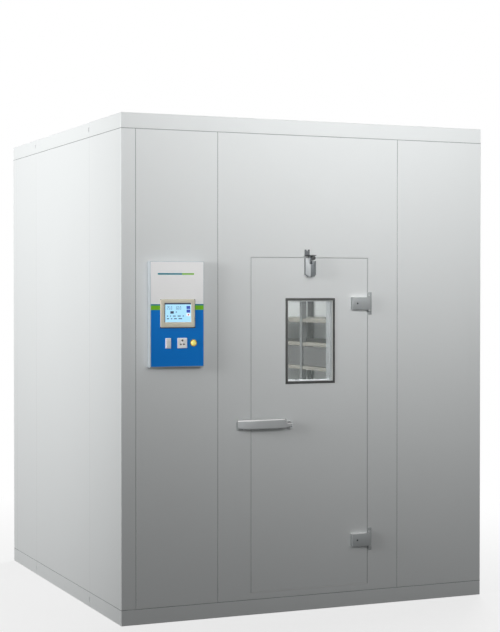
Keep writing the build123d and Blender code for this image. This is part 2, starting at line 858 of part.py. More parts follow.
with BuildPart() as closer_roller:
    with BuildSketch(profile(roller_x, roller_z)):
        with Locations((closer_standoff, 0)):
            Circle(closer_roller_radius)
            Circle(closer_pin_radius + running_clearance, mode=Mode.SUBTRACT)
    extrude(amount=closer_roller_length / 2, both=True)
    rims = closer_roller.edges().filter_by(GeomType.CIRCLE).group_by(lambda edge: edge.radius)[-1]
    chamfer(rims, closer_roller_radius / 8)
save(closer_roller.part, "closer_roller")

hook_left = arm_x - arm_slot_half - closer_hook_width / 2
hook_right = roller_x + closer_roller_length / 2
hook_half = closer_hook_width / 2
with BuildPart() as closer_hook:
    with BuildSketch(facing(hook_left + hook_half, leaf_top + closer_hook_base)):
        with BuildLine():
            Polyline(
                (-hook_half, 0),
                (hook_half, 0),
                (hook_half, closer_hook_height),
                (hook_notch_half, closer_hook_height),
                (0, closer_hook_height - hook_notch_depth),
                (-hook_notch_half, closer_hook_height),
                (-hook_half, closer_hook_height),
                close=True,
            )
        make_face()
    extrude(amount=closer_hook_sheet)
    with BuildSketch(facing(hook_left, leaf_top + closer_hook_lift)):
        Rectangle(hook_right - hook_left, closer_hook_sheet, align=(Align.MIN, Align.MIN))
    extrude(amount=closer_hook_reach)
save(closer_hook.part, "closer_hook")


# Control box

fascia_back = box_depth - fascia_sheet
switch_x = box_edge + switch_across
socket_x = box_edge + socket_across
lamp_x = box_edge + lamp_across
hmi_body = (hmi_width - 2 * hmi_flange, hmi_height - 2 * hmi_flange)
module_body = module_height - 2 * module_flange

with BuildPart() as control_box:
    with BuildSketch(facing(box_x, box_z)):
        RectangleRounded(box_width, box_height, box_sheet)
    extrude(amount=fascia_back)
    with BuildSketch(facing(box_x, box_z, -box_sheet)):
        Rectangle(box_width - 2 * box_sheet, box_height - 2 * box_sheet)
    extrude(amount=box_depth, mode=Mode.SUBTRACT)
save(control_box.part, "control_box")

with BuildPart() as control_fascia:
    with BuildSketch(facing(box_x, box_z, -fascia_back)):
        RectangleRounded(box_width, box_height, box_sheet)
    extrude(amount=fascia_sheet)
    with BuildSketch(facing(box_edge, box_upper, -fascia_back)):
        with Locations((hmi_x - box_edge, hmi_z - box_upper)):
            Rectangle(hmi_body[0] + 2 * joint_clearance, hmi_body[1] + 2 * joint_clearance)
        with Locations((switch_across, -controls_drop)):
            Rectangle(
                switch_width - 2 * module_flange + 2 * joint_clearance, module_body + 2 * joint_clearance
            )
        with Locations((socket_across, -controls_drop)):
            Rectangle(
                socket_width - 2 * module_flange + 2 * joint_clearance, module_body + 2 * joint_clearance
            )
        with Locations((lamp_across, -controls_drop)):
            Circle(lens_radius + joint_clearance)
    extrude(amount=fascia_sheet, mode=Mode.SUBTRACT)
save(control_fascia.part, "control_fascia")

with BuildPart() as hmi_housing:
    with BuildSketch(facing(hmi_x, hmi_z, -box_depth)):
        RectangleRounded(hmi_width, hmi_height, hmi_flange)
    extrude(amount=hmi_depth)
    chamfer(hmi_housing.faces().sort_by(Axis.Y)[0].edges(), hmi_depth / 4)
    with BuildSketch(facing(hmi_x, hmi_z, -box_depth)):
        Rectangle(*hmi_body)
    extrude(amount=-hmi_body_depth)
    with BuildSketch(facing(hmi_x, hmi_z + screen_shift, -box_depth - hmi_depth)):
        Rectangle(screen_width, screen_height)
    extrude(amount=-screen_recess - screen_glass, mode=Mode.SUBTRACT)
save(hmi_housing.part, "hmi_housing")

with BuildPart() as hmi_screen:
    with BuildSketch(facing(hmi_x, hmi_z + screen_shift, screen_recess - box_depth - hmi_depth)):
        Rectangle(screen_width, screen_height)
    extrude(amount=-screen_glass)
save(hmi_screen.part, "hmi_screen")

rocker_axis = box_depth + module_depth - rocker_pivot
rocker_tilt = rocker_swing / 2
with BuildPart() as switch_frame:
    with BuildSketch(facing(switch_x, controls_z, -box_depth)):
        RectangleRounded(switch_width, module_height, rocker_rise)
    extrude(amount=module_depth)
    chamfer(switch_frame.faces().sort_by(Axis.Y)[0].edges(), module_depth / 5)
    with BuildSketch(facing(switch_x, controls_z, -box_depth)):
        Rectangle(switch_width - 2 * module_flange, module_body)
    extrude(amount=-module_body_depth)
    with BuildSketch(facing(switch_x, controls_z, -box_depth - module_depth)):
        Rectangle(rocker_width + 2 * rocker_clearance, rocker_height + 4 * rocker_clearance)
    extrude(amount=-rocker_well, mode=Mode.SUBTRACT)
save(switch_frame.part, "switch_frame")

rocker_plane = Plane(origin=(switch_x, front - rocker_axis, controls_z), x_dir=(0, -1, 0), z_dir=(-1, 0, 0))
with BuildPart() as rocker_button:
    with BuildSketch(rocker_plane.rotated((0, 0, rocker_tilt))):
        with BuildLine():
            Polyline(
                (rocker_rise, 0),
                (rocker_rise + rocker_dish, rocker_height / 2),
                (-rocker_pivot, rocker_height / 2),
                (-rocker_pivot, -rocker_height / 2),
                (rocker_rise + rocker_dish, -rocker_height / 2),
                close=True,
            )
        make_face()
    extrude(amount=rocker_width / 2, both=True)
save(rocker_button.part, "rocker_button")

with BuildPart() as power_socket:
    with BuildSketch(facing(socket_x, controls_z, -box_depth)):
        RectangleRounded(socket_width, module_height, rocker_rise)
    extrude(amount=module_depth)
    chamfer(power_socket.faces().sort_by(Axis.Y)[0].edges(), module_depth / 5)
    with BuildSketch(facing(socket_x, controls_z, -box_depth)):
        Rectangle(socket_width - 2 * module_flange, module_body)
    extrude(amount=-module_body_depth)
    socket_face = facing(socket_x, controls_z, -box_depth - module_depth)
    socket_pin_depth = module_depth + module_body_depth
    pin_line = -socket_earth_rise / 3
    bore(socket_face, (0, pin_line + socket_earth_rise), socket_earth_radius, -socket_pin_depth)
    bore(socket_face, (-socket_pin_spacing / 2, pin_line), socket_pin_radius, -socket_pin_depth)
    bore(socket_face, (socket_pin_spacing / 2, pin_line), socket_pin_radius, -socket_pin_depth)
save(power_socket.part, "power_socket")

with BuildPart() as lamp_bezel:
    with BuildSketch(facing(lamp_x, controls_z, -box_depth)):
        Circle(lamp_radius)
        Circle(lens_radius, mode=Mode.SUBTRACT)
    extrude(amount=lamp_rim)
    chamfer(lamp_bezel.edges().filter_by(GeomType.CIRCLE).sort_by(Axis.Y)[0], lamp_rim / 4)
save(lamp_bezel.part, "lamp_bezel")

lens_base = box_depth + lamp_rim
with BuildPart() as lamp_lens:
    with BuildSketch(profile(lamp_x, controls_z)):
        with BuildLine():
            Polyline(
                (fascia_back, 0),
                (fascia_back, lens_radius),
                (lens_base, lens_radius),
                (lens_base + lens_height * lens_shoulder, lens_radius - lens_step),
                (lens_base + lens_height * lens_brow, (lens_radius + lens_crown) / 2),
                (lens_base + lens_height, lens_crown),
                (lens_base + lens_height, 0),
                close=True,
            )
        make_face()
    revolve(axis=Axis((lamp_x, front, controls_z), (0, -1, 0)))
save(lamp_lens.part, "lamp_lens")


# Air conditioning unit

unit_centre_y = (cooler_front + cooler_rear) / 2
unit_front = cooler_front - front
coil_width = cooler_width - 2 * coil_end_gap
coil_rear = cooler_rear - coil_rear_gap - front
coil_front = coil_rear - coil_depth
coil_low = cooler_bottom + coil_bottom_gap
coil_high = cooler_top - cooler_sheet
coil_z = (coil_low + coil_high) / 2
coil_height = coil_high - coil_low

with BuildPart() as cooler_casing:
    with BuildSketch(Plane.XY.offset(cooler_bottom)):
        with Locations((0, unit_centre_y)):
            Rectangle(cooler_width, cooler_depth)
    extrude(amount=cooler_height)
    fillet(cooler_casing.faces().sort_by(Axis.Y)[0].edges().filter_by(Axis.Z), orifice_ring * 3)
    with BuildSketch(Plane.XY.offset(cooler_bottom)):
        with Locations((0, unit_centre_y + cooler_sheet)):
            Rectangle(cooler_width - 2 * cooler_sheet, cooler_depth)
    extrude(amount=cooler_height - cooler_sheet, mode=Mode.SUBTRACT)
    with BuildSketch(facing(0, 0, unit_front)):
        with Locations(*fan_places):
            Circle(ring_radius)
    extrude(amount=-orifice_depth)
    with BuildSketch(facing(0, 0, unit_front)):
        with Locations(*fan_places):
            Circle(fan_orifice)
    extrude(amount=-orifice_depth, mode=Mode.SUBTRACT)
    with BuildSketch(Plane.XY.offset(cooler_top)):
        with Locations((0, unit_centre_y)):
            with GridLocations(hanger_spacing, cooler_depth - hanger_width, 2, 2):
                Rectangle(hanger_width, hanger_width)
    extrude(amount=hanger_height)
save(cooler_casing.part, "cooler_casing")

slot_count = int((coil_width - fin_slot) // fin_pitch)
with BuildPart() as cooler_coil:
    with BuildSketch(facing(0, coil_z, coil_front)):
        Rectangle(coil_width, coil_height)
    extrude(amount=-coil_depth)
    for face_depth, cut in ((coil_front, -fin_slot_depth), (coil_rear, fin_slot_depth)):
        with BuildSketch(facing(0, coil_z, face_depth)):
            with GridLocations(fin_pitch, 1, slot_count, 1):
                Rectangle(fin_slot, coil_height - 2 * coil_bottom_gap)
        extrude(amount=cut, mode=Mode.SUBTRACT)
    bend_y = front + (coil_front + coil_rear) / 2
    bend_count = int((coil_height - 2 * bend_radius) // bend_pitch)
    for row in range(bend_count):
        bend_z = coil_z + (row - (bend_count - 1) / 2) * bend_pitch
        with BuildSketch(Plane(origin=(-coil_width / 2, bend_y, bend_z), x_dir=(0, 1, 0), z_dir=(1, 0, 0))):
            with Locations((0, bend_radius)):
                RegularPolygon(tube_radius, tube_sides)
        revolve(axis=Axis((-coil_width / 2, bend_y, bend_z), (0, -1, 0)), revolution_arc=180)
save(cooler_coil.part, "cooler_coil")

fan_front = unit_front + fan_front_gap
fan_tip = fan_orifice - fan_tip_clearance
motor_front = fan_front + fan_hub_length + fan_front_gap


def fan_blade(x):
    """Pitched, twisted blade, lofted from root to tip and trimmed to run inside the orifice."""
    middle = fan_front + fan_hub_length / 2
    root = fan_hub_radius - blade_root_bury
    with BuildPart() as blade:
        for share in (0.0, 0.5, 1.0):
            reach = root + share * (fan_orifice - root)
            pitch = blade_root_pitch + share * (blade_tip_pitch - blade_root_pitch)
            chord = blade_root_chord + share * (blade_tip_chord - blade_root_chord)
            section = Plane(origin=(x, front + middle, fan_z + reach), x_dir=(1, 0, 0), z_dir=(0, 0, 1))
            with BuildSketch(section):
                Rectangle(chord, blade_thickness, rotation=pitch)
        loft(ruled=False)
        with BuildSketch(facing(x, fan_z, fan_front)):
            Circle(fan_tip)
        extrude(amount=-fan_hub_length, mode=Mode.INTERSECT)
    return blade.part


def axial_fan(x):
    """Fan with its shaft: blades round a hub with a bevelled nose."""
    blade = fan_blade(x)
    spin = Axis((x, front + fan_front, fan_z), (0, 1, 0))
    with BuildPart() as fan:
        round_bar(facing(x, fan_z, fan_front), (0, 0), fan_hub_radius, -fan_hub_length)
        chamfer(fan.edges().filter_by(GeomType.CIRCLE).sort_by(Axis.Y)[0], fan_hub_radius / 8)
        for turn in range(blade_count):
            add(blade.rotate(spin, turn * 360 / blade_count))
        round_bar(facing(x, fan_z, fan_front + fan_hub_length), (0, 0), motor_shaft_radius, -shaft_length)
    return fan.part


for side_name, (fan_x, _) in zip(("left", "right"), fan_places):
    save(axial_fan(fan_x), f"{side_name}_fan")

with BuildPart() as fan_motors:
    for fan_x, _ in fan_places:
        round_bar(facing(fan_x, fan_z, motor_front), (0, 0), motor_radius, -motor_length)
        shaft_bore = motor_shaft_radius + running_clearance
        bore(facing(fan_x, fan_z, motor_front), (0, 0), shaft_bore, -shaft_length)
        bracket_rear = motor_front + motor_length
        with BuildSketch(plan(fan_x, fan_z + motor_arm_width / 2)):
            bracket_half = ring_radius + motor_arm_width
            with BuildLine():
                Polyline(
                    (-bracket_half, -unit_front - cooler_sheet),
                    (-bracket_half, -bracket_rear - motor_arm_thickness),
                    (bracket_half, -bracket_rear - motor_arm_thickness),
                    (bracket_half, -unit_front - cooler_sheet),
                    (bracket_half - motor_arm_thickness, -unit_front - cooler_sheet),
                    (bracket_half - motor_arm_thickness, -bracket_rear),
                    (motor_arm_thickness - bracket_half, -bracket_rear),
                    (motor_arm_thickness - bracket_half, -unit_front - cooler_sheet),
                    close=True,
                )
            make_face()
        extrude(amount=motor_arm_width)
save(fan_motors.part, "fan_motors")

guard_rings = [fan_orifice * share for share in guard_ring_shares]
with BuildPart() as fan_guards:
    for fan_x, _ in fan_places:
        with BuildSketch(facing(fan_x, fan_z, unit_front - guard_standoff)):
            for ring in guard_rings:
                Circle(ring)
                Circle(ring - guard_bar, mode=Mode.SUBTRACT)
            Rectangle(2 * guard_rings[-1] + 2 * guard_foot, guard_bar, rotation=45)
            Rectangle(2 * guard_rings[-1] + 2 * guard_foot, guard_bar, rotation=-45)
        extrude(amount=guard_bar)
        with BuildSketch(facing(fan_x, fan_z, unit_front)):
            with PolarLocations(guard_rings[-1] + guard_foot - guard_bar / 2, 4, start_angle=45):
                Rectangle(guard_bar, guard_bar)
        extrude(amount=guard_standoff)
save(fan_guards.part, "fan_guards")

tray_top = cooler_bottom
tray_bottom = cooler_bottom - tray_depth
with BuildPart() as drip_tray:
    with BuildSketch(Plane.XY.offset(tray_bottom)):
        with Locations((0, unit_centre_y)):
            Rectangle(cooler_width - 2 * tray_inset, cooler_depth - 2 * tray_inset)
    with BuildSketch(Plane.XY.offset(tray_top)):
        with Locations((0, unit_centre_y)):
            Rectangle(cooler_width, cooler_depth)
    loft()
    offset(amount=-tray_sheet, openings=drip_tray.faces().sort_by(Axis.Z)[-1])
    with BuildSketch(Plane.XY.offset(tray_bottom)):
        with Locations((drain_aside, unit_centre_y)):
            Circle(drain_radius - tray_sheet)
    extrude(amount=tray_sheet, mode=Mode.SUBTRACT)
save(drip_tray.part, "drip_tray")

heater_y = front + coil_front - heater_gap
heater_end = cooler_width / 2 - cooler_sheet
heater_turn = coil_width / 2
heater_top = fan_z + heater_pitch / 2
heater_low = fan_z - heater_pitch / 2
with BuildPart() as heater_element:
    with BuildLine():
        FilletPolyline(
            (-heater_end, heater_y, heater_top),
            (heater_turn, heater_y, heater_top),
            (heater_turn, heater_y, heater_low),
            (-heater_end, heater_y, heater_low),
            radius=heater_bend,
        )
    with BuildSketch(Plane(origin=(-heater_end, heater_y, heater_top), z_dir=(1, 0, 0))):
        Circle(heater_radius)
    sweep()
save(heater_element.part, "heater_element")


# Service pipes through the back wall

pipe_end = back + service_stub
header_x = coil_width / 2 + suction_radius
suction_y = front + (coil_front + coil_rear) / 2
suction_z = fan_z + header_rise
liquid_z = fan_z - header_rise
steam_y = cooler_front - steam_forward
steam_z = tray_bottom - steam_radius
drain_z = tray_bottom - drain_drop
service_holes = (
    (header_x, suction_z, suction_radius),
    (header_x, liquid_z, liquid_radius),
    (steam_aside, steam_z, steam_radius),
    (drain_aside, drain_z, drain_radius),
)

with BuildPart() as refrigerant_pipes:
    with BuildSketch(Plane.XY.offset(fan_z)):
        with Locations((header_x, suction_y)):
            Circle(suction_radius)
    extrude(amount=header_rise + 2 * suction_radius, both=True)
    for pipe_z, pipe_radius in ((suction_z, suction_radius), (liquid_z, liquid_radius)):
        with BuildSketch(facing(header_x, pipe_z, suction_y - front)):
            Circle(pipe_radius)
        extrude(amount=suction_y - pipe_end)
save(refrigerant_pipes.part, "refrigerant_pipes")

with BuildPart() as steam_pipe:
    with BuildLine():
        FilletPolyline(
            (steam_aside, pipe_end, steam_z),
            (steam_aside, steam_y, steam_z),
            (steam_aside + steam_run, steam_y, steam_z),
            radius=steam_bend,
        )
    with BuildSketch(Plane(origin=(steam_aside, pipe_end, steam_z), z_dir=(0, -1, 0))):
        Circle(steam_radius)
    sweep()
    with BuildSketch(plan(steam_aside + steam_run, steam_z)):
        with Locations((-steam_run / 3, front - steam_y)):
            with GridLocations(steam_run / 6, 1, 4, 1):
                Circle(steam_nozzle_radius)
    extrude(amount=-steam_radius - steam_nozzle_rise)
save(steam_pipe.part, "steam_pipe")

with BuildPart() as drain_pipe:
    with BuildLine():
        FilletPolyline(
            (drain_aside, unit_centre_y, tray_bottom),
            (drain_aside, unit_centre_y, drain_z),
            (drain_aside, pipe_end, drain_z),
            radius=steam_bend,
        )
    with BuildSketch(Plane(origin=(drain_aside, unit_centre_y, tray_bottom), z_dir=(0, 0, -1))):
        Circle(drain_radius)
    sweep()
save(drain_pipe.part, "drain_pipe")

with BuildPart() as pipe_flanges:
    for face_y, amount in ((inner_back, pipe_flange), (back, -pipe_flange)):
        with BuildSketch(facing(0, 0, face_y - front)):
            for hole_x, hole_z, radius in service_holes:
                with Locations((hole_x, hole_z)):
                    Rectangle(2 * radius + flange_margin, 2 * radius + flange_margin)
                    Circle(radius + pipe_clearance, mode=Mode.SUBTRACT)
        extrude(amount=amount)
save(pipe_flanges.part, "pipe_flanges")

back_right_panel, back_blank, back_left_panel = back_run
with BuildPart() as back_middle:
    add(back_blank)
    with BuildSketch(facing(0, 0, inner_back - front)):
        for hole_x, hole_z, radius in service_holes:
            with Locations((hole_x, hole_z)):
                Circle(radius + pipe_hole_gap)
    extrude(amount=-wall_thickness, mode=Mode.SUBTRACT)
save(grouped((back_right_panel, back_middle.part, back_left_panel)), "back_panels")


# Light and sensor

light_y = -light_forward
with BuildPart() as light_base:
    with BuildSketch(Plane.XY.offset(wall_top)):
        with Locations((0, light_y)):
            RectangleRounded(light_length, light_width, light_depth / 4)
    extrude(amount=diffuser_depth - light_depth)
save(light_base.part, "light_base")

with BuildPart() as light_diffuser:
    diffuser_top = wall_top + diffuser_depth - light_depth
    with BuildSketch(Plane(origin=(0, light_y, diffuser_top), x_dir=(0, 1, 0), z_dir=(1, 0, 0))):
        Ellipse(diffuser_half_width, diffuser_depth)
        Rectangle(light_width, diffuser_depth, align=(Align.CENTER, Align.MAX), mode=Mode.INTERSECT)
    extrude(amount=diffuser_length / 2, both=True)
save(light_diffuser.part, "light_diffuser")

with BuildPart() as air_sensor:
    with BuildSketch(Plane.XY.offset(wall_top)):
        with Locations((sensor_aside, light_y)):
            Circle(sensor_gland_radius)
    extrude(amount=-sensor_gland_depth)
    with BuildSketch(Plane.XY.offset(wall_top - sensor_gland_depth)):
        with Locations((sensor_aside, light_y)):
            Circle(sensor_radius)
    extrude(amount=-sensor_length)
    with BuildSketch(Plane.XY.offset(wall_top - sensor_gland_depth - sensor_length)):
        with Locations((sensor_aside, light_y)):
            Circle(sensor_filter_radius)
    extrude(amount=sensor_filter_length)
save(air_sensor.part, "air_sensor")


# Racks along the side walls

rack_start = front + wall_thickness + rack_front_gap
rack_end = back - wall_thickness - rack_rear_gap
rack_bay = (rack_end - rack_start) / 2
post_lines = (rack_start, rack_start + rack_bay, rack_end)
left_shelf_levels = [shelf_start + left_shelf_pitch * row for row in range(left_shelf_count)]
right_shelf_levels = [shelf_start + right_shelf_pitch * row for row in range(right_shelf_count)]
sample_shelf_base = right_shelf_levels[-1]
for row in range(sample_shelf_count):
    right_shelf_levels.append(sample_shelf_base + sample_shelf_pitch * (row + 1))
shelf_length = rack_bay - 2 * (post_sheet + shelf_clearance)
tray_width = rack_depth - 2 * (post_sheet + shelf_clearance)
inside_width = tray_width - 2 * shelf_sheet


def rack_posts(side):
    """Folded angle posts with feet and top rails, for the rack along one side wall (-1 left, +1 right)."""
    outer = side * (inner_right - rack_wall_gap)
    inner = outer - side * rack_depth
    posts = []
    for line in post_lines:
        turn = -1 if line == post_lines[-1] else 1
        for corner, inward in ((outer, -side), (inner, side)):
            with BuildPart() as post:
                with BuildSketch(Plane.XY.offset(deck_top)):
                    with BuildLine():
                        Polyline(
                            (corner, line),
                            (corner + inward * post_leg, line),
                            (corner + inward * post_leg, line + turn * post_sheet),
                            (corner + inward * post_sheet, line + turn * post_sheet),
                            (corner + inward * post_sheet, line + turn * post_leg),
                            (corner, line + turn * post_leg),
                            close=True,
                        )
                    make_face()
                extrude(amount=rack_height)
            posts.append(post.part)
    return posts


def rack_shelves(side, levels):
    """Shelves with turned-down edges, one above another in both bays of a rack."""
    middle_x = side * (inner_right - rack_wall_gap - rack_depth / 2)
    shelves = []
    for line in post_lines[:2]:
        for level in levels:
            start_y = line + post_sheet + shelf_clearance
            shelf_top = deck_top + level
            with BuildPart() as shelf:
                with BuildSketch(
                    Plane(origin=(middle_x, start_y, shelf_top), x_dir=(1, 0, 0), z_dir=(0, 1, 0))
                ):
                    Rectangle(tray_width, shelf_lip, align=(Align.CENTER, Align.MIN))
                    with Locations((0, shelf_sheet)):
                        Rectangle(
                            inside_width, shelf_lip, align=(Align.CENTER, Align.MIN), mode=Mode.SUBTRACT
                        )
                extrude(amount=shelf_length)
            shelves.append(shelf.part)
    return shelves


for side_name, side, levels in (("left", -1, left_shelf_levels), ("right", 1, right_shelf_levels)):
    save(grouped(rack_posts(side)), f"{side_name}_rack_posts")
    save(grouped(rack_shelves(side, levels)), f"{side_name}_rack_shelves")
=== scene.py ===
"""Looks of a walk-in environmental test chamber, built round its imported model.

Metres, +Z up, the door in the face at -Y. Laid out as an add-on and run as a script: each operator dresses
one piece or one group of like pieces, and the stage operator adds the floor, the lamps and the camera.
"""
import json
import math

import bmesh
import bpy
from bpy.props import FloatProperty, FloatVectorProperty, IntProperty, PointerProperty
from mathutils import Matrix, Vector

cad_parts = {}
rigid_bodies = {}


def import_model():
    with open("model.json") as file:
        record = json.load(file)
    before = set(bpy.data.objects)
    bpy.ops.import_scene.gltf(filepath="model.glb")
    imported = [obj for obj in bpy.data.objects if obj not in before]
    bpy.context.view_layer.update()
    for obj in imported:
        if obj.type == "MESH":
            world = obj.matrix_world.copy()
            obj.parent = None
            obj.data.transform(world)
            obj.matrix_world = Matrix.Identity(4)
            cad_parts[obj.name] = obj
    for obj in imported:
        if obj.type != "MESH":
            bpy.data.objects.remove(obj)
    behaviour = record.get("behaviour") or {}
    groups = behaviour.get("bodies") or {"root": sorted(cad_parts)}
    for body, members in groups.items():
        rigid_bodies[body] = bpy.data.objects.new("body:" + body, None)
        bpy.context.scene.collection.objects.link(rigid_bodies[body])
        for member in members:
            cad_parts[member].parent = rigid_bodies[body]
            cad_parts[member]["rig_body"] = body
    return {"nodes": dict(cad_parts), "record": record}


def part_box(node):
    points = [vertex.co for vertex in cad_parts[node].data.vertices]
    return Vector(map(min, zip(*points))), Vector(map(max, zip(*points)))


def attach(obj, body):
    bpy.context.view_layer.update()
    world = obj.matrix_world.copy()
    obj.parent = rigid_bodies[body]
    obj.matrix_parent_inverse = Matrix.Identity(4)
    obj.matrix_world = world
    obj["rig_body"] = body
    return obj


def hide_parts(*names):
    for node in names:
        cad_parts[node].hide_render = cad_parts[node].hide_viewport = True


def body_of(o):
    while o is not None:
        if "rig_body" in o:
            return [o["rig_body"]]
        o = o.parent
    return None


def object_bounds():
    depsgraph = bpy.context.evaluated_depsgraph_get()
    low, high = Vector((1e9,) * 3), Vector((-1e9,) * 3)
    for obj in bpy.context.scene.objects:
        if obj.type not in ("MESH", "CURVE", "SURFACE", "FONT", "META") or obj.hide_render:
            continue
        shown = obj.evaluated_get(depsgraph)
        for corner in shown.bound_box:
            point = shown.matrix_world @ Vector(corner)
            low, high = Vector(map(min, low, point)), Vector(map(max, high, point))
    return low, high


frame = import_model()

bl_info = {
    "name": "Environmental Test Chamber",
    "version": (1, 0, 0),
    "blender": (4, 5, 0),
    "location": "3D View > Sidebar > Chamber",
    "description": "Finishes, fittings and stage of a walk-in test chamber",
    "category": "Object",
}

MM = 0.001
CAD_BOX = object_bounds()

# Places read from the frame
CHAMBER_LOW, CHAMBER_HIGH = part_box("ceiling_panels")
LEFT, RIGHT = CHAMBER_LOW.x, CHAMBER_HIGH.x
FRONT, BACK = CHAMBER_LOW.y, CHAMBER_HIGH.y
WALL_TOP, TOP = CHAMBER_LOW.z, CHAMBER_HIGH.z
FLOOR_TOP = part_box("floor_panels")[1].z
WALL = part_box("front_right_panel")[1].y - FRONT
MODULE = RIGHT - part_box("front_right_panel")[0].x


def linear(code):
    """Linear colour with alpha from an sRGB hex code."""
    shares = [int(code[i:i + 2], 16) / 255 for i in (1, 3, 5)]
    return tuple(c / 12.92 if c <= 0.04045 else ((c + 0.055) / 1.055) ** 2.4 for c in shares) + (1.0,)


def colour_property(name, description, code):
    """A colour setting whose default is an sRGB hex code."""
    return FloatVectorProperty(
        name=name, description=description, default=linear(code), size=4, min=0, max=1, subtype="COLOR"
    )


def length_property(name, description, millimetres):
    """A length setting whose default is given in millimetres."""
    return FloatProperty(
        name=name, description=description, default=millimetres * MM, min=0, subtype="DISTANCE", unit="LENGTH"
    )


def power_property(name, description, watts):
    """A lamp's power in watts."""
    return FloatProperty(
        name=name, description=description, default=watts, min=0, subtype="POWER", unit="POWER"
    )


class EnclosureSettings(bpy.types.PropertyGroup):
    """Panels, joints and deck."""

    skin: colour_property("Panel colour", "Paint of the steel skins", "#E6E9E9")
    open_joint: colour_property("Open joint", "Sealant of the front and under the ceiling", "#84898A")
    flush_joint: colour_property("Flush joint", "Sealant between the other panels", "#D3D6D6")
    joint_chamfer: length_property("Joint chamfer", "Bend of the skin on each side of a joint", 2.5)
    open_recess: length_property("Open recess", "How deep the sealant of open joints lies", 0.9)
    flush_recess: length_property("Flush recess", "How deep the sealant of flush joints lies", 0.4)
    tread_pitch: length_property("Tread pitch", "Spacing of the raised bars on the deck", 56)
    tread_length: length_property("Tread length", "Length of a raised bar", 34)
    tread_rise: length_property("Tread rise", "Height of a raised bar", 1.2)


class DoorSettings(bpy.types.PropertyGroup):
    """Leaf, window, hinges, handle and closer."""

    edge_strip: length_property("Edge strip", "Thickness of the vinyl strips round the leaf", 2.8)
    strip_recess: length_property("Strip recess", "How deep the strips lie behind the face", 0.3)
    strip_depth: length_property("Strip depth", "Width of the strips", 9)
    trim: colour_property("Window trim", "Anodised trim of the window", "#3E3F3E")
    trim_width: length_property("Trim width", "From the trim's outer edge to its inner edge", 14.5)
    glass_tint: colour_property("Glass tint", "Edge tint of the panes", "#EDF5F2")
    zinc: colour_property("Hinge colour", "Satin lacquer of the hinges", "#9FA3A4")
    chrome: colour_property("Closer colour", "Plating of the closer", "#72777A")
    handle: colour_property("Handle colour", "Satin lacquer of the handle", "#AAADAE")
    cover_screw: length_property("Cover screw", "From the free end of a hinge cover to its screw", 34)
    lever_roll: length_property("Lever roll", "Rounding along the front of the grip", 10)


class ControlSettings(bpy.types.PropertyGroup):
    """Control box, its front and its modules."""

    box: colour_property("Box colour", "Powder coat of the box", "#C3CACF")
    overlay: colour_property("Overlay colour", "Upper field of the front", "#FCFCFC")
    lower: colour_property("Lower field", "Lower field of the front", "#0684E5")
    green: colour_property("Green band", "Band between the fields", "#84D228")
    teal: colour_property("Teal band", "Thin band over the green one", "#0F8FA6")
    border: length_property("Border", "White edge left round the overlay", 4)
    overlay_depth: length_property("Overlay depth", "Thickness of the overlay", 0.6)
    field_drop: length_property("Field drop", "From the top of the screen unit to the lower field", 62)
    green_height: length_property("Green height", "Height of the green band", 26)
    teal_height: length_property("Teal height", "Height of the teal band", 8)
    housing: colour_property("Housing colour", "Moulded housing of the screen unit", "#EFE9D4")
    screen: colour_property("Screen colour", "Lit background of the screen", "#A6DDFB")
    switch: colour_property("Switch colour", "Moulded switch and socket", "#FFFFFF")
    lens: colour_property("Lens colour", "Moulded lamp lens", "#F3E77C")


class AirSettings(bpy.types.PropertyGroup):
    """Air unit, pipes, light and sensor."""

    casing: colour_property("Casing colour", "Powder coat of the air unit", "#E9EBEB")
    blade: colour_property("Blade colour", "Pressed fan blades", "#B9BDC0")
    guard_wire: length_property("Guard wire", "Radius of the guard's wires", 1.6)
    guard_rings: IntProperty(name="Guard rings", description="Rings in each fan guard", default=9, min=2)
    lagging: length_property("Lagging", "Thickness of the foam on the cold pipes", 7)


class RackSettings(bpy.types.PropertyGroup):
    """Racks along the side walls."""

    post: colour_property("Post colour", "Powder coat of the posts", "#4A4C4D")
    shelf: colour_property("Shelf colour", "Powder coat of the shelves", "#66635A")
    drawer: colour_property("Drawer colour", "Powder coat of the drawer fronts", "#363636")
    drawer_level: length_property("Drawer level", "Height of the drawers' underside", 1412)
    drawer_height: length_property("Drawer height", "Height of the drawer fronts", 132)


class StageSettings(bpy.types.PropertyGroup):
    """Floor, lamps and camera."""

    lens: FloatProperty(name="Lens", description="Focal length of the camera in mm", default=88.12, min=1)
    front_power: power_property("Front lamp", "Power of the lamp in front", 62)
    side_power: power_property("Side lamp", "Power of the lamp on the left", 200)
    rear_power: power_property("Rear lamp", "Power of the lamp behind", 380)
    room_power: power_property("Room light", "Power of the light inside", 34)
    room_fill: power_property("Room fill", "Power of the soft light inside", 19)
    fill: FloatProperty(name="Fill", description="Light from all around", default=0.205, min=0, max=1)


# Node trees

def add_node(tree, kind, inputs=None, **settings):
    """Adds a shader node, sets it up, and fills or links its inputs, which are named or numbered."""
    made = tree.nodes.new("ShaderNode" + kind)
    for key, value in settings.items():
        setattr(made, key, value)
    for key, value in (inputs or {}).items():
        if isinstance(value, bpy.types.NodeSocket):
            tree.links.new(value, made.inputs[key])
        else:
            made.inputs[key].default_value = value
    return made


def new_material(name, sockets):
    """A material with its Principled shader's sockets set. Returns the material, its tree and the shader."""
    material = bpy.data.materials.new(name)
    material.use_nodes = True
    shader = material.node_tree.nodes["Principled BSDF"]
    for key, value in sockets.items():
        shader.inputs[key].default_value = value
    return material, material.node_tree, shader


def shaded(colour, factor):
    """The colour made darker or lighter by a factor."""
    return tuple(min(1.0, c * factor) for c in colour[:3]) + (1.0,)


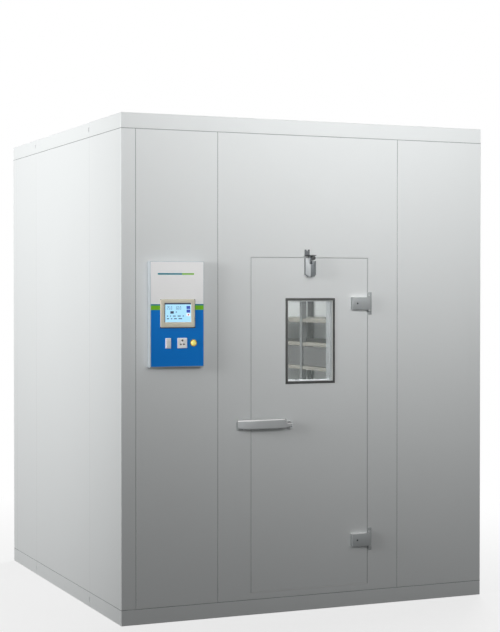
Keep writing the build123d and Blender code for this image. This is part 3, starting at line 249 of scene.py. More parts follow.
def surface(name, colour, roughness, grain, relief, patch=120, spread=0.03, stretch=(1, 1, 1), **sockets):
    """A material whose colour drifts softly over patches and whose bump has a grain, both in millimetres.

    `relief` is the grain's height in millimetres, and `spread` how far the colour and the gloss drift.
    """
    values = {"Base Color": colour, "Roughness": roughness}
    for key, value in sockets.items():
        values[key.replace("_", " ").title().replace("Ior", "IOR")] = value
    material, tree, shader = new_material(name, values)
    points = add_node(tree, "TexCoord").outputs["Object"]
    patches = add_node(tree, "TexNoise", {"Vector": points, "Scale": 1 / (patch * MM), "Detail": 3.0})
    share = patches.outputs["Fac"]
    darker, lighter = shaded(colour, 1 - spread), shaded(colour, 1 + spread)
    tone = add_node(tree, "Mix", {0: share, 6: darker, 7: lighter}, data_type="RGBA")
    glossy, dull = roughness * (1 - 2 * spread), roughness * (1 + 2 * spread)
    gloss = add_node(tree, "MapRange", {"Value": share, "To Min": glossy, "To Max": dull})
    along = add_node(tree, "Mapping", {"Vector": points, "Scale": stretch})
    fine = 1 / (grain * MM)
    grains = add_node(tree, "TexNoise", {"Vector": along.outputs[0], "Scale": fine, "Detail": 2.0})
    bump = add_node(tree, "Bump", {"Height": grains.outputs["Fac"], "Strength": 1.0, "Distance": relief * MM})
    tree.links.new(tone.outputs[2], shader.inputs["Base Color"])
    tree.links.new(gloss.outputs[0], shader.inputs["Roughness"])
    tree.links.new(bump.outputs[0], shader.inputs["Normal"])
    return material


def once(maker):
    """The material that a maker builds, built once and shared from then on."""
    return bpy.data.materials.get(maker.__name__) or maker()


def settings_of(group):
    """The scene's settings of one group of pieces."""
    return getattr(bpy.context.scene, "chamber_" + group)


def prepainted_steel():
    """Coil-coated steel, stoved: even and satin, with a faint orange peel and slow drifts of tone."""
    return surface(
        "prepainted_steel", settings_of("enclosure").skin, 0.5, 3, 0.01, patch=420, spread=0.012, ior=1.45
    )


def grey_silicone():
    """Neutral silicone, tooled into the joint: matt, a little uneven along its length."""
    return surface(
        "grey_silicone", settings_of("enclosure").open_joint, 0.6, 9, 0.15, patch=60, spread=0.06
    )


def pale_silicone():
    """The same silicone in the paint's grey, nearly flush, so that the joint hardly shows."""
    return surface(
        "pale_silicone", settings_of("enclosure").flush_joint, 0.6, 9, 0.1, patch=60, spread=0.05
    )


def tread_aluminium():
    """Rolled aluminium plate with raised bars: bright where feet polish it, greyer between."""
    return surface("tread_aluminium", linear("#A9ACAE"), 0.42, 2, 0.03, patch=90, spread=0.08, metallic=0.9)


def brushed_stainless():
    """Stainless sheet brushed along X: fine drawn lines that smear the gloss one way."""
    return surface(
        "brushed_stainless", linear("#B6B8BA"), 0.34, 1.2, 0.02, patch=140, spread=0.04,
        stretch=(0.02, 1, 1), metallic=1.0,
    )


def turned_stainless():
    """Turned stainless bar: fine rings round its axis and a clean bright gloss."""
    return surface(
        "turned_stainless", linear("#BCBEC0"), 0.26, 0.8, 0.02, patch=40, spread=0.04,
        stretch=(0.05, 0.05, 1), metallic=1.0,
    )


def extruded_silicone():
    """Extruded silicone rubber: near black and matt, with drawn lines and a light bloom of dust."""
    return surface(
        "extruded_silicone", linear("#2A2B2C"), 0.7, 1.5, 0.05, patch=50, spread=0.15, stretch=(1, 1, 0.1)
    )


def edge_vinyl():
    """Extruded grey vinyl strip: soft sheen, the same all along."""
    return surface("edge_vinyl", linear("#AEB2B2"), 0.5, 2, 0.02, patch=80, spread=0.03)


def painted_highlight_vinyl():
    """Extruded vinyl sweep under the leaf, made white: a painted highlight standing for the pale line of
    light along the door's foot.
    """
    return surface("painted_highlight_vinyl", linear("#F7F8F8"), 0.4, 2, 0.02, patch=80, spread=0.02)


def dark_anodised_aluminium():
    """Extruded and dark anodised aluminium: a dry, dark metal with fine lines along the bar."""
    return surface(
        "dark_anodised_aluminium", settings_of("door").trim, 0.42, 1, 0.02, patch=60, spread=0.06,
        stretch=(1, 1, 0.05), metallic=0.35,
    )


def mill_aluminium():
    """Spacer bar as it leaves the mill: pale, and dull in patches."""
    return surface(
        "mill_aluminium", linear("#C9CCCE"), 0.45, 1.5, 0.02, patch=40, spread=0.05, metallic=0.85
    )


def glazing_silicone():
    """Translucent pale silicone round the pane: soft and slightly wavy."""
    return surface("glazing_silicone", linear("#C9CBC9"), 0.4, 3, 0.08, patch=30, spread=0.05)


def painted_shadow_rubber():
    """Black moulded rubber gasket under the screen unit, matt: set off to the right and down, it is a painted
    shadow of the housing, a thin dark line beside it.
    """
    return surface("painted_shadow_rubber", linear("#3A3B3B"), 0.65, 1, 0.03, patch=30, spread=0.1)


def lacquered_zinc():
    """Die-cast zinc under satin lacquer: soft grey, with the faint skin of the casting."""
    return surface(
        "lacquered_zinc", settings_of("door").zinc, 0.42, 1.6, 0.03, patch=35, spread=0.03, metallic=0.15
    )


def lacquered_lever():
    """The handle's die casting under the same lacquer, polished a little by hands."""
    return surface(
        "lacquered_lever", settings_of("door").handle, 0.34, 2, 0.02, patch=45, spread=0.05, metallic=0.3
    )


def lacquered_foot():
    """The handle's foot: the same casting and lacquer, in a paler grey than the lever."""
    return surface("lacquered_foot", linear("#CDD0D1"), 0.42, 2, 0.02, patch=30, spread=0.03, metallic=0.1)


def painted_highlight_zinc():
    """Zinc casting in white for the upper faces of the grip and hinges: a painted highlight where light from
    above falls on them.
    """
    return surface("painted_highlight_zinc", linear("#FFFFFF"), 0.25, 2, 0.02, patch=30, spread=0.04, metallic=0.3)


def hook_zinc():
    """Pressed hook under dark zinc plating: greyer and duller than the closer."""
    return surface("hook_zinc", linear("#4A4E51"), 0.45, 1.5, 0.02, patch=25, spread=0.05, metallic=0.2)


def painted_lit_flank_chrome():
    """The closer's left flank in a lighter copy of the plating than its front: painted light where the side
    lamp falls on it.
    """
    return surface("painted_lit_flank_chrome", linear("#A6AAAC"), 0.45, 1.5, 0.01, patch=40, spread=0.03, metallic=0.1)


def chromed_zinc():
    """Die-cast zinc under satin chrome: a cool grey that hardly mirrors, kept dark as the shaded copy of the
    plating on the closer's front and right.
    """
    return surface(
        "chromed_zinc", settings_of("door").chrome, 0.42, 1.5, 0.01, patch=40, spread=0.03, metallic=0.2
    )


def black_oxide_steel():
    """Cold-headed screw with black oxide: dark and slightly oily."""
    return surface(
        "black_oxide_steel", linear("#34373A"), 0.35, 0.6, 0.02, patch=8, spread=0.1, metallic=0.8
    )


def zinc_plated_steel():
    """Zinc-plated screw: bright, with a cool passivated tone."""
    return surface(
        "zinc_plated_steel", linear("#C5C9CC"), 0.28, 0.6, 0.02, patch=8, spread=0.06, metallic=1.0
    )


def moulded_acetal():
    """Moulded acetal bush: waxy off-white."""
    return surface(
        "moulded_acetal", linear("#E4E2D8"), 0.4, 1, 0.01, patch=20, spread=0.02, subsurface_weight=0.1
    )


def afterglow_nylon():
    """Moulded nylon with afterglow pigment: pale yellow green, cloudy."""
    return surface(
        "afterglow_nylon", linear("#C3D79A"), 0.5, 1, 0.02, patch=18, spread=0.04, subsurface_weight=0.15
    )


def hard_rubber():
    """Moulded hard rubber tyre: dark grey, scuffed where it runs."""
    return surface("hard_rubber", linear("#4C4D4E"), 0.55, 0.8, 0.04, patch=6, spread=0.2)


def box_powder_coat():
    """Fine-textured powder coat on folded steel: cool grey, with a tiny pebble that breaks up the gloss."""
    return surface("box_powder_coat", settings_of("control").box, 0.45, 1.2, 0.04, patch=90, spread=0.012)


def printed_polyester(name, colour, gloss=0.12):
    """Screen-printed polyester film: flat, dense colour under a fine matt grain."""
    return surface(name, colour, 0.45, 0.7, 0.012, patch=70, spread=0.012, specular_ior_level=gloss)


def textured_abs():
    """Moulded ABS with a spark-eroded texture: putty colour, evenly matt."""
    return surface("textured_abs", settings_of("control").housing, 0.55, 0.8, 0.03, patch=30, spread=0.015)


def gloss_polycarbonate():
    """Moulded polycarbonate: glossy off-white with the slight waves of the moulding."""
    return surface(
        "gloss_polycarbonate", settings_of("control").switch, 0.22, 8, 0.03, patch=30, spread=0.012,
        specular_ior_level=1.0, coat_weight=0.6,
    )


def hole_shade_black():
    """Near-black moulding deep in the socket's holes: painted shade, so that each reads as a hole; the rings
    round the holes are moulded in it too.
    """
    return surface("hole_shade_black", linear("#1B1A19"), 0.6, 0.8, 0.02, patch=8, spread=0.1)


def spun_brass():
    """Spun brass ring, polished: warm and bright, with faint spinning rings."""
    return surface("spun_brass", linear("#A88B3C"), 0.24, 0.8, 0.01, patch=12, spread=0.06, metallic=1.0)


def glowing_lens():
    """Moulded yellow polycarbonate with a small lamp behind it: it glows a little by itself."""
    colour = settings_of("control").lens
    return surface(
        "glowing_lens", colour, 0.18, 1.5, 0.03, patch=8, spread=0.04,
        emission_color=colour, emission_strength=0.35,
    )


def lit_screen(name, colour, strength):
    """Liquid crystal screen lit from behind: an even glow crossed by faint rows of dots."""
    material, tree, shader = new_material(
        name, {"Base Color": shaded(colour, 0.25), "Roughness": 0.2, "Emission Strength": strength}
    )
    points = add_node(tree, "TexCoord").outputs["Object"]
    # The real pixels are 0.2 mm, too fine to show, so the dots are drawn at 1.6 mm.
    pixel = 1.6 * MM
    rows = {"Vector": points, "Scale": 1 / pixel, "Detail": 0.0}
    share = add_node(tree, "TexWave", rows, bands_direction="Z").outputs["Fac"]
    glow = add_node(tree, "Mix", {0: share, 6: shaded(colour, 0.96), 7: colour}, data_type="RGBA")
    tree.links.new(glow.outputs[2], shader.inputs["Emission Color"])
    return material


def float_glass():
    """Toughened float glass: clear with a trace of green, reflecting more where seen at a slant."""
    tint = settings_of("door").glass_tint
    material, tree, shader = new_material(
        "float_glass", {"Base Color": tint, "Roughness": 0.02, "IOR": 1.5, "Alpha": 0.05}
    )
    points = add_node(tree, "TexCoord").outputs["Object"]
    # Roller wave of the toughening oven, drawn at its real 250 mm.
    waves = add_node(tree, "TexNoise", {"Vector": points, "Scale": 1 / (250 * MM), "Detail": 1.0})
    bump = add_node(tree, "Bump", {"Height": waves.outputs["Fac"], "Strength": 1.0, "Distance": 0.05 * MM})
    tree.links.new(bump.outputs[0], shader.inputs["Normal"])
    return material


def unit_powder_coat():
    """Powder-coated aluminium sheet of the air unit: white, slightly warm."""
    return surface("unit_powder_coat", settings_of("air").casing, 0.5, 1.2, 0.04, patch=110, spread=0.015)


def pressed_blade():
    """Pressed aluminium blade: satin, with a soft drawn grain from the press."""
    return surface(
        "pressed_blade", settings_of("air").blade, 0.38, 1, 0.02, patch=40, spread=0.04, metallic=0.9
    )


def fin_stock():
    """Stack of thin aluminium fins: fine bright lines for the fins and dark lines of painted shade for the
    gaps between them.
    """
    material, tree, shader = new_material("fin_stock", {"Roughness": 0.4, "Metallic": 0.85})
    points = add_node(tree, "TexCoord").outputs["Object"]
    # Real fins stand 4 mm apart and are too fine to show from outside, so the lines are drawn coarser.
    pair = 12 * MM
    rows = {"Vector": points, "Scale": 1 / pair, "Detail": 0.0}
    lines = add_node(tree, "TexWave", rows, bands_direction="X")
    # The dark colour is painted shade in the gaps between the fins
    dark, bright = linear("#6F7377"), linear("#D0D4D8")
    tone = add_node(tree, "Mix", {0: lines.outputs["Fac"], 6: dark, 7: bright}, data_type="RGBA")
    bump = add_node(tree, "Bump", {"Height": lines.outputs["Fac"], "Strength": 1.0, "Distance": 1 * MM})
    tree.links.new(tone.outputs[2], shader.inputs["Base Color"])
    tree.links.new(bump.outputs[0], shader.inputs["Normal"])
    return material


def stoved_casting():
    """Cast motor shell under black stove enamel: soft sheen over sand-cast skin."""
    return surface("stoved_casting", linear("#2B2D30"), 0.4, 2.5, 0.12, patch=25, spread=0.08)


def chromed_wire():
    """Drawn wire, welded and chrome plated: thin bright lines."""
    return surface("chromed_wire", linear("#D8DADC"), 0.18, 1, 0.01, patch=15, spread=0.04, metallic=1.0)


def heater_sheath():
    """Nickel alloy sheath of the heater, straw and brown from its heat."""
    return surface("heater_sheath", linear("#8A7763"), 0.38, 1.5, 0.02, patch=35, spread=0.16, metallic=0.9)


def drawn_copper():
    """Drawn copper tube: warm metal, dulled in cloudy patches."""
    return surface("drawn_copper", linear("#C4794F"), 0.34, 1.5, 0.02, patch=30, spread=0.12, metallic=1.0)


def foam_lagging():
    """Closed-cell foam on the cold pipes: black, dead matt, softly dimpled."""
    return surface("foam_lagging", linear("#26282A"), 0.85, 2.5, 0.25, patch=30, spread=0.12)


def moulded_pvc():
    """Moulded white PVC: pipe and cover plates, with a slight sheen."""
    return surface("moulded_pvc", linear("#E7E8E6"), 0.36, 1.5, 0.02, patch=60, spread=0.02)


def opal_acrylic():
    """Opal acrylic diffuser with tubes behind it: an even white glow."""
    return surface(
        "opal_acrylic", linear("#F7F8F7"), 0.4, 2, 0.02, patch=80, spread=0.01,
        emission_color=linear("#FFFFFF"), emission_strength=0.9,
    )


def sintered_filter():
    """Sintered stainless filter of the sensor: grainy and dull."""
    return surface("sintered_filter", linear("#96999B"), 0.6, 1, 0.2, patch=8, spread=0.1, metallic=0.8)


def post_powder_coat():
    """Grey powder coat on the rack's folded posts: even, slightly glossy."""
    return surface("post_powder_coat", settings_of("racks").post, 0.42, 1.2, 0.03, patch=80, spread=0.02)


def shelf_powder_coat():
    """Beige grey powder coat on the shelves, a little scuffed where things are pushed in."""
    return surface("shelf_powder_coat", settings_of("racks").shelf, 0.45, 1.2, 0.03, patch=45, spread=0.035)


def drawer_powder_coat():
    """Dark grey fine-textured powder coat on the drawer fronts."""
    return surface("drawer_powder_coat", settings_of("racks").drawer, 0.5, 1.2, 0.03, patch=70, spread=0.02)


# Mesh building

def face_points(outline, y):
    """Points of a flat outline, given across and up, standing upright at the depth y."""
    return [Vector((x, y, z)) for x, z in outline]


def rounded_outline(x, z, width, height, radius, steps=5):
    """Outline of an upright rectangle with round corners, centred at x and z."""
    points = []
    for corner, (across, up) in enumerate(((1, 1), (-1, 1), (-1, -1), (1, -1))):
        for step in range(steps + 1):
            angle = math.pi / 2 * (corner + step / steps)
            points.append((
                x + across * (width / 2 - radius) + radius * math.cos(angle),
                z + up * (height / 2 - radius) + radius * math.sin(angle),
            ))
    return points


def prism(shape, outline, run):
    """Adds a solid: a flat outline pulled along the vector `run`."""
    near = [shape.verts.new(point) for point in outline]
    far = [shape.verts.new(Vector(point) + Vector(run)) for point in outline]
    shape.faces.new(near)
    shape.faces.new(far[::-1])
    for i, j in zip(range(len(near)), [*range(1, len(near)), 0]):
        shape.faces.new((near[i], near[j], far[j], far[i]))


def block(shape, low, high):
    """Adds a box between two corners."""
    (x, y, z), (x2, y2, z2) = low, high
    prism(shape, [(x, y, z), (x2, y, z), (x2, y, z2), (x, y, z2)], (0, y2 - y, 0))


def lathe(shape, profile, base, axis, sides=28, closed=False):
    """Adds a turned form: `profile` holds (radius, height) pairs, heights along the axis from the base.

    A closed profile is a ring's section; an open one is capped at both ends.
    """
    place = Matrix.Translation(base) @ Vector(axis).to_track_quat("Z", "Y").to_matrix().to_4x4()
    rings = []
    for radius, height in profile:
        count = sides if radius else 1
        turn = [2 * math.pi * i / count for i in range(count)]
        rings.append([
            shape.verts.new(place @ Vector((radius * math.cos(a), radius * math.sin(a), height)))
            for a in turn
        ])
    for lower, upper in zip(rings, rings[1:] + rings[:1] if closed else rings[1:]):
        for i in range(sides):
            j = (i + 1) % sides
            corners = (
                lower[i % len(lower)], lower[j % len(lower)], upper[j % len(upper)], upper[i % len(upper)],
            )
            around = list(dict.fromkeys(corners))
            if len(around) > 2:
                shape.faces.new(around)
    for ring in () if closed else (rings[0], rings[-1]):
        if len(ring) > 1:
            shape.faces.new(ring)


def ring_wire(shape, centre, axis, radius, wire, sides=48, around=8):
    """Adds a round wire bent into a ring."""
    place = Matrix.Translation(centre) @ Vector(axis).to_track_quat("Z", "Y").to_matrix().to_4x4()
    loops = []
    for i in range(sides):
        turn = 2 * math.pi * i / sides
        loop = []
        for k in range(around):
            tilt = 2 * math.pi * k / around
            out = radius + wire * math.cos(tilt)
            point = Vector((out * math.cos(turn), out * math.sin(turn), wire * math.sin(tilt)))
            loop.append(shape.verts.new(place @ point))
        loops.append(loop)
    for first, second in zip(loops, loops[1:] + loops[:1]):
        for k in range(around):
            n = (k + 1) % around
            shape.faces.new((first[k], first[n], second[n], second[k]))


def screw_head(shape, at, outward, radius):
    """Adds a pan head with a sunk drive, seated on a surface that faces `outward`."""
    rise = radius * 0.45
    lathe(
        shape,
        [
            (radius, 0), (radius, rise * 0.35), (radius * 0.86, rise * 0.8), (radius * 0.6, rise),
            (radius * 0.42, rise), (radius * 0.36, rise * 0.35), (0, rise * 0.3),
        ],
        at, outward, sides=20,
    )


def add_piece(name, shape, material, body, replaced=(), rounding=0.0, segments=2, smooth=False):
    """Turns a bmesh into a piece that rides on a body; `rounding` is the width its sharp edges get."""
    bmesh.ops.recalc_face_normals(shape, faces=shape.faces)
    mesh = bpy.data.meshes.new(name)
    shape.to_mesh(mesh)
    shape.free()
    mesh.materials.append(material)
    piece = bpy.data.objects.new(name, mesh)
    bpy.context.collection.objects.link(piece)
    if rounding:
        mesh.shade_smooth()
        bevel = piece.modifiers.new("edge_rounding", "BEVEL")
        bevel.width = rounding
        bevel.segments = segments
        bevel.limit_method = "ANGLE"
        bevel.angle_limit = math.radians(32)
        bevel.harden_normals = True
    elif smooth:
        mesh.shade_smooth()
        mesh.set_sharp_from_angle(angle=math.radians(40))
    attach(piece, body)
    if replaced:
        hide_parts(*replaced)
    return piece


def place_of_mount(name):
    """Place of a mount in the record."""
    return Vector(next(mount["pos_m"] for mount in frame["record"]["mounts"] if mount["name"] == name))


def body_name(node):
    """Name of the body that a CAD node rides on."""
    return body_of(frame["nodes"][node])[0]


def softened(node, material, width, segments=2, rolled=0.0, second=None, is_second=None):
    """A piece that stands for a CAD node, with the same shape and the edges that its process leaves.

    `rolled` rounds the long edges between a front face and what lies above or below it. Faces for which
    `is_second` holds get the second material.
    """
    shape = bmesh.new()
    shape.from_mesh(frame["nodes"][node].data)
    bmesh.ops.remove_doubles(shape, verts=shape.verts, dist=0.01 * MM)
    bmesh.ops.dissolve_limit(shape, angle_limit=math.radians(1), verts=shape.verts, edges=shape.edges)
    if rolled:
        long_edges = []
        for edge in shape.edges:
            if len(edge.link_faces) == 2:
                front, other = sorted(edge.link_faces, key=lambda face: face.normal.y)
                if front.normal.y < -0.4 and abs(other.normal.z) > 0.4 and other.normal.y > -0.2:
                    long_edges.append(edge)
        bmesh.ops.bevel(
            shape, geom=long_edges, offset=rolled, segments=5, profile=0.5, affect="EDGES",
            clamp_overlap=False,
        )
    for face in shape.faces:
        face.material_index = int(is_second is not None and is_second(face))
    piece = add_piece(node + "_finished", shape, material, body_name(node), (node,), width, segments)
    if second:
        piece.data.materials.append(second)
    return piece


def coat(material, *nodes):
    """Gives CAD nodes whose shape is right a material."""
    for node in nodes:
        mesh = frame["nodes"][node].data
        mesh.materials.clear()
        mesh.materials.append(material)


def pierced_sheet(shape, spans, faces, openings, index_at):
    """Adds an upright sheet with rectangular openings.

    `spans` is (across cuts, up cuts), `faces` the y of its front and back, and `index_at` gives the
    material of each cell.
    """
    across, up = spans
    front_y, back_y = faces
    corners = {}

    def corner(i, k, y):
        key = (i, k, y)
        if key not in corners:
            corners[key] = shape.verts.new((across[i], y, up[k]))
        return corners[key]

    def kept(i, k):
        if not (0 <= i < len(across) - 1 and 0 <= k < len(up) - 1):
            return False
        x, z = (across[i] + across[i + 1]) / 2, (up[k] + up[k + 1]) / 2
        return not any(x1 < x < x2 and z1 < z < z2 for x1, x2, z1, z2 in openings)

    for i in range(len(across) - 1):
        for k in range(len(up) - 1):
            if not kept(i, k):
                continue
            made = []
            for y in (front_y, back_y):
                made.append(
                    [corner(i, k, y), corner(i + 1, k, y), corner(i + 1, k + 1, y), corner(i, k + 1, y)]
                )
            for beside, a, b in (
                ((i, k - 1), 0, 1), ((i + 1, k), 1, 2), ((i, k + 1), 2, 3), ((i - 1, k), 3, 0),
            ):
                if not kept(*beside):
                    made.append([made[0][a], made[0][b], made[1][b], made[1][a]])
            index = index_at((across[i] + across[i + 1]) / 2, (up[k] + up[k + 1]) / 2)
            for loop in made:
                shape.faces.new(loop).material_index = index


# Pieces

class DressPanels(bpy.types.Operator):
    """Paints the insulated panels and lays the sealant in their joints."""

    bl_idname = "chamber.dress_panels"
    bl_label = "Panels and joints"

    def execute(self, context):
        settings = context.scene.chamber_enclosure
        coat(
            once(prepainted_steel),
            "floor_panels", "ceiling_panels", "front_left_panel", "door_frame_panel", "front_right_panel",
            "left_panels", "right_panels", "back_panels",
        )
        chamfer = settings.joint_chamfer
        dip = 0.15

        def bead(shape, start, end, outward, recess):
            """Sealant in a V joint: its face lies `recess` deep and dips a little in the middle."""
            start, end, outward = Vector(start), Vector(end), Vector(outward)
            side = (end - start).normalized().cross(outward)
            half = chamfer - recess
            section = [
                start + side * half - outward * recess,
                start - outward * (recess + dip * half),
                start - side * half - outward * recess,
                start - outward * chamfer,
            ]
            prism(shape, section, end - start)

        walls = (
            ((LEFT, FRONT), (1, 0), RIGHT - LEFT),
            ((RIGHT, FRONT), (0, 1), BACK - FRONT),
            ((RIGHT, BACK), (-1, 0), RIGHT - LEFT),
            ((LEFT, BACK), (0, -1), BACK - FRONT),
        )
        open_joints = bmesh.new()
        flush_joints = bmesh.new()
        for number, ((x, y), (along_x, along_y), run) in enumerate(walls):
            outward = (along_y, -along_x, 0)
            upright, recess = flush_joints, settings.flush_recess
            if number == 0:
                upright, recess = open_joints, settings.open_recess
            for distance in (WALL, MODULE, run - MODULE):
                foot = (x + along_x * distance, y + along_y * distance)
                bead(upright, (*foot, FLOOR_TOP), (*foot, WALL_TOP), outward, recess)
            for z in (FLOOR_TOP, WALL_TOP):
                far = (x + along_x * run, y + along_y * run, z)
                bead(open_joints, (x, y, z), far, outward, settings.open_recess)
        recess = settings.flush_recess
        for y in (FRONT + MODULE, BACK - MODULE):
            bead(flush_joints, (LEFT, y, TOP), (RIGHT, y, TOP), (0, 0, 1), recess)
            for x, outward in ((LEFT, -1), (RIGHT, 1)):
                for low, high in ((0, FLOOR_TOP), (WALL_TOP, TOP)):
                    bead(flush_joints, (x, y, low), (x, y, high), (outward, 0, 0), recess)
        add_piece("open_joint_sealant", open_joints, once(grey_silicone), "chamber")
        add_piece("flush_joint_sealant", flush_joints, once(pale_silicone), "chamber")
        return {"FINISHED"}


class DressDeck(bpy.types.Operator):
    """Lays the raised bars on the deck and brushes the sill."""

    bl_idname = "chamber.dress_deck"
    bl_label = "Deck and sill"

    def execute(self, context):
        settings = context.scene.chamber_enclosure
        low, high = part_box("floor_deck")
        pitch, half, rise = settings.tread_pitch, settings.tread_length / 2, settings.tread_rise
        shape = bmesh.new()
        columns = int((high.x - low.x) / pitch) - 1
        rows = int((high.y - low.y) / pitch) - 1
        for column in range(columns):
            for row in range(rows):
                centre = Vector((low.x + pitch * (column + 1), low.y + pitch * (row + 1), high.z))
                turn = math.radians(45 if (column + row) % 2 else -45)
                along = Vector((math.cos(turn), math.sin(turn), 0))
                across = Vector((-along.y, along.x, 0))
                width = half * 0.24
                base = [
                    centre + along * (half * a) + across * (width * b)
                    for a, b in ((1, 0), (0.7, 1), (-0.7, 1), (-1, 0), (-0.7, -1), (0.7, -1))
                ]
                crest = [point.lerp(centre, 0.35) + Vector((0, 0, rise)) for point in base]
                lower = [shape.verts.new(point) for point in base]
                upper = [shape.verts.new(point) for point in crest]
                shape.faces.new(upper)
                for i in range(6):
                    j = (i + 1) % 6
                    shape.faces.new((lower[i], lower[j], upper[j], upper[i]))
                shape.faces.new(lower[::-1])
        coat(once(tread_aluminium), "floor_deck")
        add_piece("deck_treads", shape, once(tread_aluminium), "chamber")
        softened("door_sill", once(brushed_stainless), 0.6 * MM)
        return {"FINISHED"}


class DressLeaf(bpy.types.Operator):
    """Paints the door leaf, strips its edge and seals it."""

    bl_idname = "chamber.dress_leaf"
    bl_label = "Door leaf"

    def execute(self, context):
        settings = context.scene.chamber_door
        coat(once(prepainted_steel), "door_leaf")
        coat(once(extruded_silicone), "door_gasket")
        low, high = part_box("door_leaf")
        y = FRONT + settings.strip_recess
        depth = settings.strip_depth
        thickness = settings.edge_strip
        shape = bmesh.new()
        block(shape, (low.x - thickness, y, low.z), (low.x, y + depth, high.z + thickness))
        block(shape, (high.x, y, low.z), (high.x + thickness, y + depth, high.z + thickness))
        block(shape, (low.x, y, high.z), (high.x, y + depth, high.z + thickness))
        add_piece("leaf_edge_strip", shape, once(edge_vinyl), "door", rounding=0.4 * MM)
        # The sweep is white so that it paints the pale line of light under the leaf
        sweep_height = 3.2 * MM
        sweep_recess = 0.2 * MM
        sweep = bmesh.new()
        block(sweep, (low.x, FRONT + sweep_recess, low.z - sweep_height), (high.x, FRONT + depth, low.z))
        add_piece("leaf_sweep", sweep, once(painted_highlight_vinyl), "door", rounding=0.4 * MM)
        return {"FINISHED"}


class DressWindow(bpy.types.Operator):
    """Finishes the window's trim, glazing bead, panes and spacer."""

    bl_idname = "chamber.dress_window"
    bl_label = "Viewing window"

    def execute(self, context):
        settings = context.scene.chamber_door
        softened("window_outer_trim", once(dark_anodised_aluminium), 1.0 * MM)
        softened("window_inner_trim", once(mill_aluminium), 1.0 * MM)
        coat(once(float_glass), "window_panes")
        coat(once(mill_aluminium), "window_spacer")
        low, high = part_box("window_panes")
        trim_low, trim_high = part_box("window_outer_trim")
        # The bead lines the trim from the pane to just behind its face
        bead = 2.4 * MM
        face = low.y
        lip = trim_low.y + 1.5 * MM
        shape = bmesh.new()
        inner_x = (trim_high.x - trim_low.x) / 2 - settings.trim_width - bead
        inner_z = (trim_high.z - trim_low.z) / 2 - settings.trim_width - bead
        x, z = (low.x + high.x) / 2, (low.z + high.z) / 2
        for side in (-1, 1):
            edge = x + side * inner_x
            block(shape, (edge, lip, z - inner_z - bead), (edge + side * bead, face, z + inner_z + bead))
            edge = z + side * inner_z
            block(shape, (x - inner_x, lip, edge), (x + inner_x, face, edge + side * bead))
        add_piece("glazing_bead", shape, once(glazing_silicone), "door", rounding=0.6 * MM)
        return {"FINISHED"}


class DressHinges(bpy.types.Operator):
    """Finishes the strap hinges, their pins and their screws."""

    bl_idname = "chamber.dress_hinges"
    bl_label = "Hinges"

    def execute(self, context):
        settings = context.scene.chamber_door
        zinc = once(lacquered_zinc)
        cover_screws = bmesh.new()
        plate_screws = bmesh.new()
        caps = bmesh.new()
        # Screws of the bracket's plate, from its side and its ends
        plate, from_side, from_end = 2.5 * MM, 7 * MM, 9 * MM
        # The hinge pin, from the cover's end, the wall's face and the hinge's middle
        pin_inset, pin_out, pin_top = 11 * MM, 14 * MM, 47.5 * MM
        dome = [(8 * MM, 0), (8 * MM, 2.5 * MM), (6.5 * MM, 5 * MM), (3.5 * MM, 6.5 * MM), (0, 7 * MM)]
        for level in ("upper", "lower"):
            # Their top faces take the white zinc: a painted highlight
            softened(
                level + "_hinge_strap", zinc, 1.2 * MM,
                second=once(painted_highlight_zinc), is_second=lambda face: face.normal.z > 0.6,
            )
            softened(level + "_hinge_bracket", zinc, 0.5 * MM)
            low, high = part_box(level + "_hinge_strap")
            middle = (low.z + high.z) / 2
            screw_head(cover_screws, (low.x + settings.cover_screw, low.y, middle), (0, -1, 0), 5.5 * MM)
            bracket_low, bracket_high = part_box(level + "_hinge_bracket")
            for z, up in ((bracket_high.z, 1), (bracket_low.z, -1)):
                at = (bracket_high.x - from_side, FRONT - plate, z - up * from_end)
                screw_head(plate_screws, at, (0, -1, 0), 4 * MM)
            lathe(caps, dome, (high.x - pin_inset, FRONT - pin_out, middle + pin_top), (0, 0, 1))
        coat(once(turned_stainless), "hinge_pins")
        coat(once(moulded_acetal), "hinge_bushes")
        black = once(black_oxide_steel)
        add_piece("hinge_cover_screws", cover_screws, black, "door", smooth=True)
        add_piece("hinge_plate_screws", plate_screws, zinc, "chamber", smooth=True)
        add_piece("hinge_pin_caps", caps, zinc, "chamber", smooth=True)
        return {"FINISHED"}


class DressHandle(bpy.types.Operator):
    """Finishes the lever, its foot, the strike and the inside release."""

    bl_idname = "chamber.dress_handle"
    bl_label = "Handle and release"

    def execute(self, context):
        settings = context.scene.chamber_door
        # The rounding along the top of the grip takes the white zinc: a painted highlight
        softened(
            "handle_lever", once(lacquered_lever), 0.8 * MM, rolled=settings.lever_roll,
            second=once(painted_highlight_zinc), is_second=lambda face: face.normal.z > 0.2 and face.normal.y < -0.2,
        )
        softened("handle_base", once(lacquered_foot), 1.2 * MM)
        softened("latch_strike", once(lacquered_zinc), 1.0 * MM)
        coat(once(turned_stainless), "handle_pivot_pin", "release_rod")
        coat(once(afterglow_nylon), "release_escutcheon")
        low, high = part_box("handle_base")
        strike_low, strike_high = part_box("latch_strike")
        edge = 7 * MM
        foot_plate, strike_plate = 5 * MM, 4 * MM
        foot = bmesh.new()
        for rise in (11 * MM, -11 * MM):
            at = (high.x - edge, FRONT - foot_plate, (low.z + high.z) / 2 + rise)
            screw_head(foot, at, (0, -1, 0), 4.2 * MM)
        add_piece("handle_foot_screws", foot, once(zinc_plated_steel), "door", smooth=True)
        strike = bmesh.new()
        for z in (strike_low.z + edge, strike_high.z - edge):
            screw_head(strike, (strike_low.x + edge, FRONT - strike_plate, z), (0, -1, 0), 3.6 * MM)
        add_piece("strike_screws", strike, once(zinc_plated_steel), "chamber", smooth=True)
        return {"FINISHED"}


